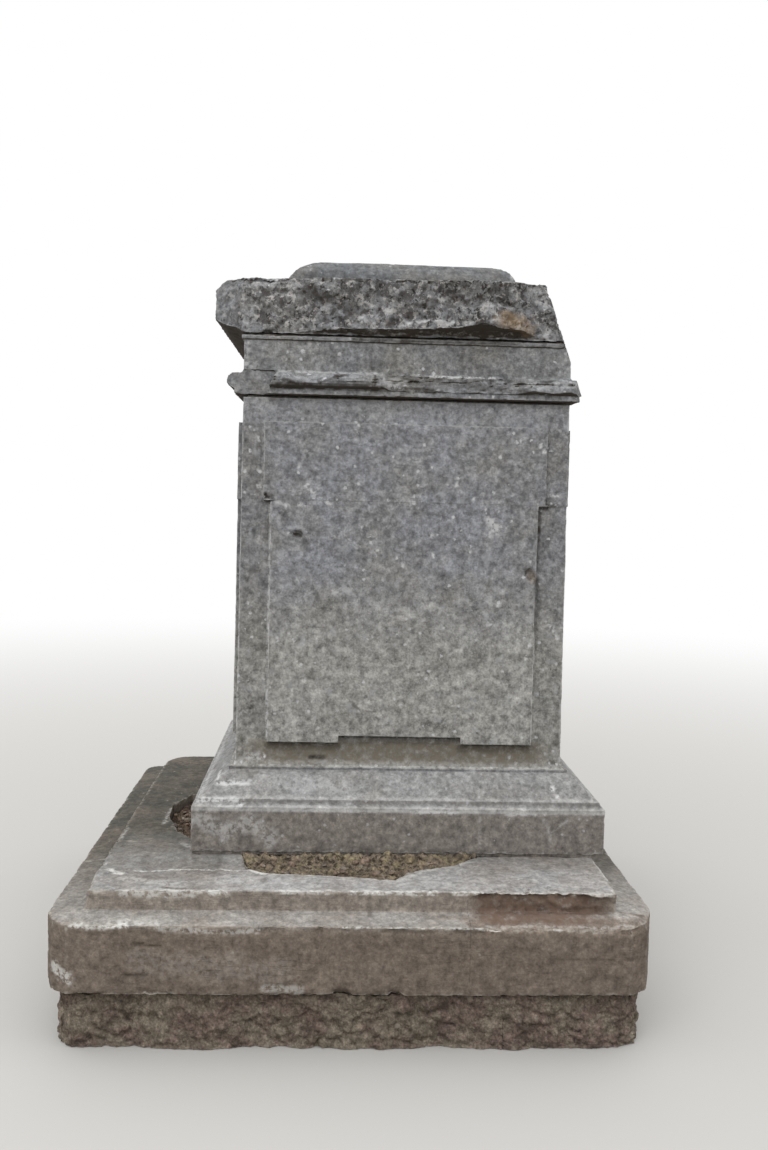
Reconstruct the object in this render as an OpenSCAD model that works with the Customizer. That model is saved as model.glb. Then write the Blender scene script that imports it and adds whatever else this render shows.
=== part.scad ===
// Stone pedestal of an obelisk whose shaft is missing.
// A square die with a raised, notched panel on each face stands on a moulded base.
// Over the die come a neck moulding, a plain frieze, a broken cornice and a low cushion block.
// The pedestal stands at the back right of a kerbed plinth: four stones in a pinwheel round a core.
// Origin: on the ground under the middle of the plinth. The inscribed front faces -Y.

/* [Footing] */
// Height of the rubble footing that shows above ground
footing_h = 132; // [80:1:220]
// Least set-back of the footing from the plinth face
footing_in = 8; // [4:1:40]
// Depth of the hollows in the rough footing outline
footing_rough = 16; // [4:1:24]
// Length of one uneven stretch of that outline
footing_stretch = 150; // [100:10:250]

/* [Plinth] */
// Plinth width, left to right
plinth_w = 1512; // [1480:1:1600]
// Plinth depth, front to back
plinth_d = 1546; // [1510:1:1640]
// Height of the kerb stones
plinth_h = 233; // [180:1:300]
// Width on plan of the right kerb stone
kerb_right_w = 476; // [420:1:520]
// Width on plan of the back kerb stone
kerb_back_w = 440; // [400:1:480]
// How far the left and front kerb stones run in under the base
kerb_bearing = 110; // [60:1:160]
// Height of the fascia below the ledge, at its outer arris
kerb_fascia_h = 173; // [120:1:176]
// Height of the riser between ledge and plinth top
riser_h = 49; // [30:1:52]
// Ledge width at the front
ledge_front = 73; // [50:1:100]
// Ledge width at the back
ledge_back = 85; // [50:1:110]
// Ledge width at the left
ledge_left = 92; // [60:1:120]
// Ledge width at the right
ledge_right = 100; // [60:1:120]
// Tight joint between two kerb stones
kerb_joint = 1; // [0.5:0.5:4]

/* [Pedestal place] */
// How far the pedestal stands right of the middle of the plinth
ped_x = 122; // [80:1:130]
// How far the pedestal stands behind the middle of the plinth
ped_y = 138; // [80:1:145]

/* [Base] */
// Height of the base, from the plinth top to the joint under the die
base_h = 213; // [190:1:240]
// Projection of the base fascia beyond the die
base_out = 107; // [95:1:115]
// Height of the fascia, up to the foot of the bead
base_fascia_h = 120; // [105:1:130]
// Height of the bead on the fascia
base_bead_h = 16; // [10:1:18]
// Height of the upright quirk between the bead and the ogee
base_quirk_h = 13; // [6:1:16]
// How far the foot of the ogee lies behind the fascia
base_quirk_in = 16; // [12:1:20]
// Projection of the top of the base beyond the die
base_top_out = 22; // [18:1:30]
// Swell of the sloping ogee, outward at its head and inward at its foot
ogee_swell = 4; // [0:0.5:8]

/* [Die] */
// Width of the die at its foot
die_w = 914; // [900:1:930]
// Inward batter of each face from foot to head
die_batter = 7; // [0:1:12]
// Height of the head of the die above the plinth top
die_head = 1239; // [1210:1:1260]
// Height of the bed joint above the plinth top
bed_joint_h = 959; // [800:1:1050]
// Flare of the cavetto at the foot of the die
foot_flare = 17; // [10:1:18]
// Height of that cavetto
foot_flare_h = 37; // [25:1:45]

/* [Panel] */
// Projection of the raised panel
panel_out = 16; // [8:1:22]
// Half width of the panel on the upper stone
panel_upper_half = 390; // [375:1:400]
// Half width of the panel on the lower stone
panel_lower_half = 370; // [350:1:374]
// Top edge of the panel above the plinth top
panel_top = 1173; // [1120:1:1200]
// Bottom edge of the panel between its two lugs
panel_bottom = 307; // [298:1:330]
// Bottom edge of the lugs
panel_lug_bottom = 288; // [275:1:296]
// Half width of the notch between the lugs
panel_notch_half = 170; // [140:1:200]

/* [Neck and frieze] */
// Height of the fillet under the bead
neck_fillet_h = 15; // [10:1:20]
// Projection of that fillet beyond the frieze
neck_fillet_out = 25; // [18:1:28]
// Thickness of the bead
bead_h = 44; // [36:1:50]
// Projection of the bead beyond the frieze
bead_out = 46; // [36:1:50]
// Height of the top of the frieze above the plinth top
frieze_top = 1406; // [1380:1:1420]
// Height of the small fillet at the top of the frieze
frieze_fillet_h = 14; // [8:1:20]
// Projection of that fillet
frieze_fillet_out = 6; // [3:1:10]

/* [Cornice] */
// Height of the cornice at its middle
cornice_h = 169; // [150:1:190]
// Projection of the cornice beyond the foot of the die
cornice_out = 82; // [60:1:95]
// Height of the bed moulding under the fascia
bed_mould_h = 47; // [40:1:60]
// Height of the top arris above the underside of the cornice
cornice_arris_h = 133; // [120:1:137]
// Width of the steep front part of the sloping top
wash_w = 36; // [20:1:50]
// Rise of the flatter part behind it
wash_rise = 13; // [6:1:13]

/* [Top block] */
// Half width of the cushion block at its foot
block_half = 313; // [290:1:330]
// Height of the cushion block
block_h = 76; // [60:1:90]
// Width of the rounded shoulder
shoulder_w = 90; // [60:1:110]
// Upright part under the shoulder
block_foot_h = 8; // [4:1:24]

/* [Joints] */
// Thickness of the mortar bed under the kerb stones
kerb_bed_t = 8; // [5:1:12]
// Thickness of the mortar bed under the pedestal
base_bed_t = 6; // [4:1:8]
// Thickness of the bed joints in the pedestal
joint_t = 4; // [3:1:6]
// How far the mortar is weathered back from the stone face
joint_in = 12; // [6:1:18]
// Thickness of the tight bed joint in the die
die_joint_t = 1.5; // [1:0.5:4]
// How far the mortar of that joint lies back from the stone face
die_joint_in = 4; // [2:1:12]

/* [Breaks in the plinth] */
// Width and depth on plan of the break at the front left corner
left_break_w = 64; // [30:1:90]
left_break_d = 88; // [30:1:120]
// Width and depth on plan of the break at the front right corner
right_break_w = 78; // [30:1:100]
right_break_d = 124; // [40:1:160]
// Radius of the worn rear left corner
rear_round = 60; // [20:1:90]
// Width and depth of the rounded rear left corner of the upper step
tier_round_w = 90; // [40:1:120]
tier_round_d = 110; // [40:1:140]
// Depth of the broken-out pockets in the plinth top
pocket_depth = 46; // [20:1:60]
// How far the pockets run in under the base
pocket_under = 20; // [5:1:30]
// Width of the pocket at the front foot of the base
front_pocket_w = 636; // [500:1:700]
// How far the front pocket reaches out from the base
front_pocket_out = 183; // [120:1:200]
// How far its middle lies left of the middle of the pedestal
front_pocket_left = 107; // [60:1:130]
// Length of the pocket at the left foot of the base
left_pocket_l = 478; // [300:1:520]
// How far the left pocket reaches out from the base
left_pocket_out = 113; // [60:1:140]
// How far its middle lies in front of the middle of the pedestal
left_pocket_front = 195; // [120:1:210]
// Level of the earth in the front pocket below the plinth top
earth_low = 10; // [4:1:18]
// Level of the earth in the left pocket below the plinth top
earth_left_low = 30; // [16:1:40]
// Clearance between an earth fill and the broken stone
earth_gap = 1; // [0.5:0.5:3]

/* [Breaks in the cap] */
// How far the broken front of the cornice still stands out at its fullest
front_break_out = 76; // [40:1:82]
// Angle at which that break leans back
front_break_lean = 5; // [0:1:12]
// Angle on plan of the break that ends the left return
return_break_turn = 38; // [25:1:50]
// Angle at which that break leans back
return_break_lean = 4; // [0:1:12]
// Angle on plan of the long break at the right
cap_break_turn = 76; // [60:1:80]
// Angle at which it leans in
cap_break_lean = 19.5; // [10:0.5:24]
// How far it cuts in from the die corner, at the top of the frieze
cap_break_in = 28; // [10:1:40]
// Width of the break in the neck at the front left, at its foot and at its head
neck_break_low = 63; // [40:1:120]
neck_break_high = 92; // [40:1:120]
// Width of the chip at the front right corner of the bead
bead_chip = 40; // [20:1:60]
// Angle on plan of that chip
bead_chip_turn = 62; // [40:1:70]

/* [Hidden] */

kerb_foot = footing_h + kerb_bed_t;
plinth_top = kerb_foot + plinth_h;
half_w = plinth_w / 2;
half_d = plinth_d / 2;
die_half = die_w / 2;
base_half = die_half + base_out;
frieze_half = die_half - die_batter;
cornice_head = frieze_top + cornice_h;
big = 4 * plinth_w;

// Colours of the weathered materials.
limestone = "#8f8e8b";
limestone_pale = "#a3a29e";
kerb_stone = "#8b847b";
rubble = "#6a5f55";
mortar = "#77706a";
earth = "#5a4a3c";

// Profiles are lists of [half width, height] from the foot of a stone to its head.

// Points of an arc that starts at angle a and ends at angle b.
function arc(cx, cz, rx, rz, a, b, n = 8) =
    [for (i = [0:n]) let (t = a + (b - a) * i / n) [cx + rx * cos(t), cz + rz * sin(t)]];

// A profile mirrored about the vertical axis, as a closed outline.
function both_sides(p) =
    concat(p, [for (i = [len(p) - 1:-1:0]) [-p[i][0], p[i][1]]]);

// Half width of the die at a height above the plinth top.
function die_at(z) = die_half - die_batter * max(0, z - base_h) / (die_head - base_h);

// A square moulded stone: where the profile in one direction meets that in the other.
module moulded(profile) {
    intersection() {
        rotate([90, 0, 0]) linear_extrude(big, center = true) polygon(both_sides(profile));
        rotate([90, 0, 90]) linear_extrude(big, center = true) polygon(both_sides(profile));
    }
}

// Everything of the pedestal is placed by this module, with z = 0 at the plinth top.
module on_plinth(z = 0) {
    translate([ped_x, ped_y, plinth_top + z]) children();
}

// A block given by its low corner and its high corner.
module box(low, high) {
    translate(low) cube(high - low);
}

// A flat break: takes away all that lies in front of a tilted plane through a point.
module cleave(at, turn, lean = 0) {
    translate(at) rotate([0, 0, turn]) rotate([-lean, 0, 0])
        translate([-big / 2, -big, -big / 2]) cube(big);
}

// Plan of the plinth for half sizes w and d, counter-clockwise from the front left:
// both front corners are broken, and the rear left one is worn round.
function plinth_outline(w, d) =
    concat([[-w + left_break_w, -d], [w - right_break_w, -d],
            [w - 0.4 * right_break_w, -d + 0.27 * right_break_d], [w, -d + right_break_d],
            [w, d - rear_round / 3], [w - rear_round / 3, d]],
        arc(-w + rear_round, d - rear_round, rear_round, rear_round, 90, 180, 4),
        [[-w, -d + left_break_d], [-w + 0.34 * left_break_w, -d + 0.34 * left_break_d]]);

// Points from corner a towards corner b, in stretches that fall back by uneven amounts.
function rough_side(a, b) =
    let (run = b - a, n = max(1, round(norm(run) / footing_stretch)), back = [-run[1], run[0]] / norm(run))
    [for (i = [0:n - 1]) a + run * i / n + back * footing_rough * (0.5 + 0.5 * sin(137 * i + 40 * n))];

// The rough footing. Its outline follows that of the plinth.
module footing() {
    outline = plinth_outline(half_w - footing_in, half_d - footing_in);
    count = len(outline);
    color(rubble)
        linear_extrude(footing_h)
            polygon([for (i = [0:count - 1]) each rough_side(outline[i], outline[(i + 1) % count])]);
}

// The mortar bed between footing and kerb.
module kerb_bed() {
    back = footing_in + footing_rough + joint_in;
    color(mortar)
        translate([0, 0, footing_h])
            linear_extrude(kerb_bed_t) polygon(plinth_outline(half_w - back, half_d - back));
}

// Section of the plinth up to the foot of the riser, for a half size and the ledge at each end.
function ledge_section(half, low_ledge, high_ledge) =
    let (ledge_z = plinth_h - riser_h)
    [[-half, 0], [half, 0], [half, kerb_fascia_h], [half - high_ledge, ledge_z],
     [-half + low_ledge, ledge_z], [-half, kerb_fascia_h]];

// The whole plinth with its ledge and its upper step, before it is cut into stones.
module plinth_mass() {
    left = -half_w + ledge_left;
    right = half_w - ledge_right;
    front = -half_d + ledge_front;
    back = half_d - ledge_back;
    intersection() {
        rotate([90, 0, 0]) linear_extrude(big, center = true)
            polygon(ledge_section(half_w, ledge_left, ledge_right));
        rotate([90, 0, 90]) linear_extrude(big, center = true)
            polygon(ledge_section(half_d, ledge_front, ledge_back));
        linear_extrude(plinth_h) polygon(plinth_outline(half_w, half_d));
    }
    linear_extrude(plinth_h)
        polygon(concat([[left, front], [right, front], [right, back]],
            arc(left + tier_round_w, back - tier_round_d, tier_round_w, tier_round_d, 90, 180, 5)));
}

// Outline of the pocket broken out of the plinth top at the front foot of the base,
// measured from the middle of the pedestal. Each point is a share of the width and of the reach.
module front_pocket_plan() {
    shares = [[-0.5, 0], [-0.47, 0.34], [-0.453, 0.6], [-0.384, 0.76], [-0.145, 0.84], [0.137, 1],
              [0.182, 0.75], [0.289, 0.53], [0.373, 0.42], [0.5, 0.03]];
    polygon(concat(
        [[-0.5 * front_pocket_w - front_pocket_left, -base_half + pocket_under]],
        [for (s = shares) [s[0] * front_pocket_w - front_pocket_left, -base_half - s[1] * front_pocket_out]],
        [[0.49 * front_pocket_w - front_pocket_left, -base_half + pocket_under]]));
}

// Outline of the pocket at the left foot of the base.
module left_pocket_plan() {
    shares = [[0, 0.5], [0.61, 0.466], [1, 0.222], [0.956, -0.025], [0.52, -0.354], [0.13, -0.49]];
    polygon(concat(
        [[-base_half + pocket_under, 0.5 * left_pocket_l - left_pocket_front]],
        [for (s = shares) [-base_half - s[0] * left_pocket_out, s[1] * left_pocket_l - left_pocket_front]],
        [[-base_half + pocket_under, -0.5 * left_pocket_l - left_pocket_front]]));
}

module pockets() {
    translate([ped_x, ped_y, plinth_h - pocket_depth]) {
        linear_extrude(pocket_depth + 1) front_pocket_plan();
        linear_extrude(pocket_depth + 1) left_pocket_plan();
    }
}

// One stone of the pinwheel, cut from the plinth between two plan corners.
module kerb(low, high) {
    color(kerb_stone)
        translate([0, 0, kerb_foot])
            difference() {
                intersection() {
                    plinth_mass();
                    box([low[0], low[1], -1], [high[0], high[1], plinth_h + 1]);
                }
                pockets();
            }
}

// Lines on plan where the kerb stones meet.
left_line = ped_x - base_half + kerb_bearing;
right_line = half_w - kerb_right_w;
front_line = ped_y - base_half + kerb_bearing;
back_line = half_d - kerb_back_w;

module kerb_front() {
    kerb([-plinth_w, -plinth_d], [right_line - kerb_joint, front_line - kerb_joint]);
}

module kerb_right() {
    kerb([right_line, -plinth_d], [plinth_w, back_line - kerb_joint]);
}

module kerb_back() {
    kerb([left_line, back_line], [plinth_w, plinth_d]);
}

module kerb_left() {
    kerb([-plinth_w, front_line], [left_line - kerb_joint, plinth_d]);
}

// Rubble and mortar that fill the space between the kerb stones.
module plinth_core() {
    color(rubble)
        box([left_line, front_line, kerb_foot],
            [right_line - kerb_joint, back_line - kerb_joint, plinth_top]);
}

module earth_front() {
    color(earth)
        on_plinth(-pocket_depth)
            linear_extrude(pocket_depth - earth_low)
                offset(delta = -earth_gap) front_pocket_plan();
}

module earth_left() {
    color(earth)
        on_plinth(-pocket_depth)
            linear_extrude(pocket_depth - earth_left_low)
                offset(delta = -earth_gap) left_pocket_plan();
}

// The mortar bed that the pedestal stands on. It ends short of the riser at the right and back.
module base_bed() {
    foot = base_half - 2 * joint_in;
    right = half_w - ledge_right - ped_x - joint_in / 2;
    back = half_d - ledge_back - ped_y - joint_in / 2;
    color(mortar)
        on_plinth()
            box([-foot, -foot, 0], [min(foot, right), min(foot, back), base_bed_t]);
}

// Sloping ogee of the base, from a height up to the die.
function base_ogee(low) =
    let (out = base_out - base_quirk_in, n = 10)
    [for (i = [0:n]) let (t = i / n)
        [die_half + out + (base_top_out - out) * t - ogee_swell * sin(360 * t),
         low + (base_h - low) * t]];

// Fascia, bead, upright quirk and ogee, from the bed to the joint under the die.
module pedestal_base() {
    bead_r = base_bead_h / 2;
    bead_top = base_fascia_h + base_bead_h;
    quirk = base_half - base_quirk_in - 1;
    color(limestone_pale)
        on_plinth()
            moulded(concat(
                [[base_half, base_bed_t], [base_half, base_fascia_h]],
                arc(base_half - bead_r, base_fascia_h + bead_r, bead_r, bead_r, -40, 90, 6),
                [[quirk, bead_top + 1], [quirk, bead_top + base_quirk_h - 1]],
                base_ogee(bead_top + base_quirk_h)));
}

// A bed joint weathered back all round.
module bed(half, z, t) {
    color(mortar)
        on_plinth(z)
            box([-half, -half, 0], [half, half, t]);
}

module foot_joint() {
    bed(die_half + foot_flare - joint_in, base_h, joint_t);
}

module die_joint() {
    bed(die_at(bed_joint_h) - die_joint_in, bed_joint_h, die_joint_t);
}

module neck_joint() {
    bed(frieze_half - joint_in, die_head, joint_t);
}

// The break at the right front shortens this joint too.
module cornice_joint() {
    difference() {
        bed(frieze_half - joint_in, frieze_top, joint_t);
        on_plinth() cap_break(joint_in / 2);
    }
}

module top_joint() {
    bed(block_half - joint_in, cornice_head, joint_t);
}

// Profile of the die between two heights, grown outward by more.
function die_profile(low, high, more) =
    [[die_at(low) + more, low], [die_at(high) + more, high]];

// Cavetto that flares the foot of the die out to the base.
function foot_cavetto() =
    let (z = base_h + joint_t)
    arc(die_half + foot_flare, z + foot_flare_h, foot_flare, foot_flare_h - 4, 270, 180, 6);

// A raised panel on each of the four faces, given by its outline in a face.
module panels(low, high) {
    for (turn = [0, 90])
        intersection() {
            moulded(die_profile(low, high, panel_out));
            rotate([0, 0, turn]) rotate([90, 0, 0])
                linear_extrude(big, center = true) children();
        }
}

module die_lower() {
    color(limestone)
        on_plinth() {
            moulded(concat([[die_half + foot_flare, base_h + joint_t]], foot_cavetto(),
                [[die_at(bed_joint_h), bed_joint_h]]));
            panels(panel_lug_bottom, bed_joint_h)
                difference() {
                    translate([-panel_lower_half, panel_lug_bottom])
                        square([2 * panel_lower_half, bed_joint_h - panel_lug_bottom]);
                    translate([-panel_notch_half, 0])
                        square([2 * panel_notch_half, panel_bottom]);
                }
        }
}

module die_upper() {
    low = bed_joint_h + die_joint_t;
    color(limestone)
        on_plinth() {
            moulded(die_profile(low, die_head, 0));
            panels(low, panel_top)
                translate([-panel_upper_half, low])
                    square([2 * panel_upper_half, panel_top - low]);
        }
}

// The long break at the right front, which runs through cornice and frieze. It can be set in.
module cap_break(more = 0) {
    cleave([die_half - cap_break_in - more, -die_half, frieze_top], cap_break_turn, cap_break_lean);
}

// The moulding that has broken off the front left corner of the neck, back to the frieze face.
module neck_break(low, high) {
    translate([0, -frieze_half - 1, 0]) rotate([90, 0, 0]) linear_extrude(big)
        polygon([[-big, low], [-frieze_half + neck_break_low, low],
            [-frieze_half + neck_break_high, high], [-big, high]]);
}

// Neck moulding and frieze, cut from one course.
module neck_frieze() {
    z = die_head + joint_t;
    fillet = frieze_half + neck_fillet_out;
    quirk = z + neck_fillet_h;
    bead_r = bead_h / 2;
    mid = quirk + 3 + bead_r;
    color(limestone)
        on_plinth()
            difference() {
                moulded(concat(
                    [[frieze_half + 4, z], [fillet, z + 3], [fillet, quirk],
                     [frieze_half + bead_out - bead_r, quirk + 3]],
                    arc(frieze_half + bead_out - bead_r, mid, bead_r, bead_r, -80, 80, 8),
                    [[frieze_half + 6, mid + bead_r], [frieze_half, mid + bead_r + 8],
                     [frieze_half, frieze_top - frieze_fillet_h],
                     [frieze_half + frieze_fillet_out, frieze_top - frieze_fillet_h + 2],
                     [frieze_half + frieze_fillet_out, frieze_top]]));
                neck_break(z, mid + bead_r + 8);
                cleave([frieze_half + bead_out - bead_chip, -frieze_half - bead_out, mid], bead_chip_turn);
                cap_break();
            }
}

// The cornice as it was, with its bed moulding, fascia and sloping top.
module whole_cornice() {
    z = frieze_top + joint_t;
    arris = die_half + cornice_out;
    bed_out = arris - 5 - frieze_half;
    n = 8;
    bed_mould = [for (i = [0:n]) let (t = i / n)
        [frieze_half + bed_out * t, z + (bed_mould_h - joint_t) * (t + 0.07 * sin(360 * t))]];
    moulded(concat(bed_mould,
        [[arris - 3, frieze_top + bed_mould_h], [arris, frieze_top + cornice_arris_h - 4],
         [arris - 4, frieze_top + cornice_arris_h], [arris - wash_w, cornice_head - wash_rise],
         [block_half, cornice_head]]));
}

// All in front of the broken front face. It is flush with the frieze at the left, swells out
// right of the middle and falls back to the corner. Points are shares of the frieze and the swell.
module front_break() {
    shares = [[-2, 0], [-1, 0], [-0.73, 0.03], [-0.4, 0.32], [0, 0.43], [0.29, 0.66], [0.44, 1],
              [0.54, 0.72], [0.67, 0.62], [0.77, 0.16], [0.95, -0.05], [2, -0.05]];
    translate([0, -frieze_half, frieze_top]) rotate([-front_break_lean, 0, 0])
        linear_extrude(big, center = true)
            polygon(concat([for (s = shares) [s[0] * frieze_half, -s[1] * front_break_out]],
                [[big, -big], [-big, -big]]));
}

// The cornice as it stands, with a rough break at the front and at the right.
module cornice() {
    color(limestone)
        on_plinth()
            difference() {
                whole_cornice();
                front_break();
                cleave([-frieze_half, -frieze_half, frieze_top + bed_mould_h], -return_break_turn,
                    return_break_lean);
                cap_break();
            }
}

// Low cushion with rounded shoulders that carried the shaft.
module top_block() {
    z = cornice_head + joint_t;
    h = cornice_head + block_h - z;
    color(limestone_pale)
        on_plinth()
            moulded(concat([[block_half - 3, z], [block_half, z + 3]],
                arc(block_half - shoulder_w, z + block_foot_h, shoulder_w, h - block_foot_h, 0, 90, 8)));
}

footing();
kerb_bed();
kerb_front();
kerb_right();
kerb_back();
kerb_left();
plinth_core();
earth_front();
earth_left();
base_bed();
pedestal_base();
foot_joint();
die_lower();
die_joint();
die_upper();
neck_joint();
neck_frieze();
cornice_joint();
cornice();
top_joint();
top_block();
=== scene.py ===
import math
import random

import bpy
import numpy as np
from mathutils import Matrix, Vector, noise


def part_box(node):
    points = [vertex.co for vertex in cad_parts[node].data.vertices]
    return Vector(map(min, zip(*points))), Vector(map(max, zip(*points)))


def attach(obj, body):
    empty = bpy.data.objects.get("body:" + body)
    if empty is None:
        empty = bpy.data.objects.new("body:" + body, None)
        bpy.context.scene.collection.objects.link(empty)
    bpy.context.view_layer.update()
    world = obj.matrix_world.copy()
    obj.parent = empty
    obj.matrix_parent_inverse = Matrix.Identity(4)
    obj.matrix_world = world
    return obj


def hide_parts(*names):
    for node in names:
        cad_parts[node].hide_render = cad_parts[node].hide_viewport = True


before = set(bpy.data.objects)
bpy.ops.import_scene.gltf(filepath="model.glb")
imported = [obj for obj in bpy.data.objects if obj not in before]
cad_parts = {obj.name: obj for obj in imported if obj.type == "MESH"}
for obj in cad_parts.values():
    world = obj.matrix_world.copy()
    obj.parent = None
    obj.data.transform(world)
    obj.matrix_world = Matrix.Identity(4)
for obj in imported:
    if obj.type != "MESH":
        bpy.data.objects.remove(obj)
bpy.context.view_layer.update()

# Lengths and places below are in millimetres, measured from the upright axis of the pedestal
# and from the top of the plinth: x to the right, y to the back, z up. The front faces -y.
MM = 0.001
BASE_LOW, BASE_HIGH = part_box("pedestal_base")
AXIS = np.array([(BASE_LOW[0] + BASE_HIGH[0]) / 2, (BASE_LOW[1] + BASE_HIGH[1]) / 2,
                 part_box("kerb_front")[1][2]])


def box_of(node):
    """Lowest and highest corner of a CAD node."""
    low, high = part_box(node)
    return (np.array(low) - AXIS) / MM, (np.array(high) - AXIS) / MM


# Faces and levels that several stones share. A face is given by its distance from the axis.
BASE_FACE = round(box_of("pedestal_base")[1][0])
FASCIA_TOP = 120
BEAD_TOP = FASCIA_TOP + 16
OGEE_FOOT = BEAD_TOP + 13
DIE_FOOT, DIE_JOINT = box_of("die_lower")[0][2], round(box_of("die_lower")[1][2])
# The panel is wider on the upper stone of the die. Its foot is notched in the middle.
PANEL_EDGE, UPPER_PANEL_EDGE, NOTCH_EDGE = 370, 390, 170
PANEL_FOOT, NOTCH_TOP, PANEL_TOP = 288, 307, 1173
# The corners of the recessed margins on each stone, and a distance that all of the margins stay under.
LOWER_CORNER, UPPER_CORNER, MARGIN_LIMIT = 457, 452, 466
NECK_FOOT = round(box_of("neck_frieze")[0][2])
NECK_BEAD_OUT = 46
FRIEZE_FACE = round(box_of("neck_frieze")[1][0]) - NECK_BEAD_OUT
LEDGE = -60
RISER = round(box_of("kerb_front")[0][1]) + 73
JOINT_X = box_of("kerb_right")[0][0]


# Modelling.

def select_only(piece):
    """Selects one piece alone and makes it active."""
    bpy.ops.object.select_all(action="DESELECT")
    piece.select_set(True)
    bpy.context.view_layer.objects.active = piece


def stone_from(node, name):
    """A new piece with the form of a CAD node: merged, with each flat face whole again."""
    piece = bpy.data.objects.new(name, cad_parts[node].data.copy())
    bpy.context.scene.collection.objects.link(piece)
    piece.data.name = name
    piece.data.materials.clear()
    select_only(piece)
    bpy.ops.object.mode_set(mode="EDIT")
    bpy.ops.mesh.select_mode(type="FACE")
    bpy.ops.mesh.select_all(action="SELECT")
    bpy.ops.mesh.remove_doubles(threshold=0.00002)
    bpy.ops.mesh.dissolve_limited(angle_limit=math.radians(0.4))
    bpy.ops.object.mode_set(mode="OBJECT")
    return piece


def cuts(low, high, step, close_to=()):
    """Places to cut between low and high: even steps, with closer ones beside each arris."""
    count = max(1, round((high - low) / step))
    places = [low + (high - low) * i / count for i in range(1, count)]
    for arris in close_to:
        for place in (arris + gap * side for gap in (1.5, 4, 8) for side in (-1, 1)):
            if low < place < high:
                places = [p for p in places if abs(p - place) > 1.1] + [place]
    return sorted(places)


def cut_grid(piece, across, back, up, skip=None):
    """Cuts the faces of a stone into a grid. skip picks the hidden bed faces to be left whole."""
    for face in piece.data.polygons:
        face.select = bool(skip and skip(face))
    select_only(piece)
    bpy.ops.object.mode_set(mode="EDIT")
    bpy.ops.mesh.hide(unselected=False)
    directions = [((1, 0, 0), across), ((0, 1, 0), back), ((0, 0, 1), up)]
    for normal, places in sorted(directions, key=lambda d: -len(d[1])):
        for place in places:
            bpy.ops.mesh.select_all(action="SELECT")
            bpy.ops.mesh.bisect(plane_co=AXIS + place * MM * np.array(normal), plane_no=normal)
    bpy.ops.mesh.reveal(select=False)
    bpy.ops.object.mode_set(mode="OBJECT")


def both_beds(face):
    """True on the upper and lower beds of a stone, which no one sees."""
    return abs(face.normal.z) > 0.9999


def lower_bed(face):
    """True on the lower bed only, for stones whose top shows."""
    return face.normal.z < -0.9999


def points_of(mesh):
    """The points of a mesh in millimetres from the axis."""
    flat = np.empty(len(mesh.vertices) * 3)
    mesh.vertices.foreach_get("co", flat)
    return (flat.reshape(-1, 3) - AXIS) / MM


def facing_of(mesh):
    """The outward direction at each point of a mesh."""
    flat = np.empty(len(mesh.vertices) * 3)
    mesh.vertices.foreach_get("normal", flat)
    return flat.reshape(-1, 3)


def set_points(mesh, at):
    """Moves the points of a mesh to places given in millimetres from the axis."""
    mesh.vertices.foreach_set("co", (at * MM + AXIS).ravel())
    mesh.update()


def keep(mesh, name, values):
    """Keeps a value for each point, which the materials read by its name."""
    mesh.attributes.new(name, "FLOAT", "POINT").data.foreach_set("value", np.clip(values, 0, 1))


# Uneven shapes, worked out for all points of a stone at once.

def uneven(at, size, seed, octaves=4, harsh=0.55):
    """Fractal noise of about -1 to 1 at each point, whose largest waves are size long."""
    shifted = at / size + np.array([7.31, 3.17, 5.53]) * seed
    return np.array([noise.fractal(p, 1 - harsh, 2.0, octaves, noise_basis="PERLIN_ORIGINAL")
                     for p in shifted.tolist()])


def rising(values, low, high):
    """0 up to low, 1 from high on and even between."""
    return np.clip((values - low) / (high - low), 0, 1)


# Marks and hollows are given by two coordinates, and lie on one side of the object.
FRONT, TOP, STEP = (0, 2), (0, 1), [0, 1]


def on_side(at, view):
    """True for points on the front, on the tops or, for STEP, on the ledge of the plinth."""
    if view is FRONT:
        return (at[:, 1] < -430) & ((at[:, 2] > 2) | (at[:, 1] < RISER + 8))
    if view is STEP:
        return (at[:, 2] < LEDGE + 18) & (at[:, 2] > LEDGE - 14)
    return at[:, 2] > -9


def nearness(at, view, line, radius):
    """1 on a line of places, 0 from a radius away."""
    seen = at[:, list(view)]
    gap = np.full(len(at), np.inf)
    for start, end in zip(line, line[1:] or line):
        start, run = np.array(start, float), np.subtract(end, start)
        along = np.clip((seen - start) @ run / max(run @ run, 1e-9), 0, 1)
        gap = np.minimum(gap, np.linalg.norm(seen - start - along[:, None] * run, axis=1))
    return 1 - gap / radius


def marked(at, view, marks, seed=0, ragged=0.4):
    """How strongly each point lies in one of the marks (line, radius, strength), with uneven rims."""
    value = np.zeros(len(at))
    rims = ragged * uneven(at, 28, 40 + seed, 3) if marks else 0
    for line, radius, strength in marks:
        value = np.maximum(value, strength * np.clip((nearness(at, view, line, radius) + rims) / 0.5, 0, 1))
    return value * on_side(at, view)


def arrises(piece, least_angle=28):
    """Start, end and outward direction of each sharp convex edge of a stone."""
    at = points_of(piece.data)
    faces_at = {}
    for face in piece.data.polygons:
        for key in face.edge_keys:
            faces_at.setdefault(key, []).append(face)
    found = []
    for (a, b), faces in faces_at.items():
        if len(faces) != 2:
            continue
        first, second = faces
        sharp = first.normal.angle(second.normal, 0) > math.radians(least_angle)
        if sharp and first.normal.dot(second.center - first.center) < 0:
            found.append((at[a], at[b], np.array((first.normal + second.normal).normalized())))
    return found


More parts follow.
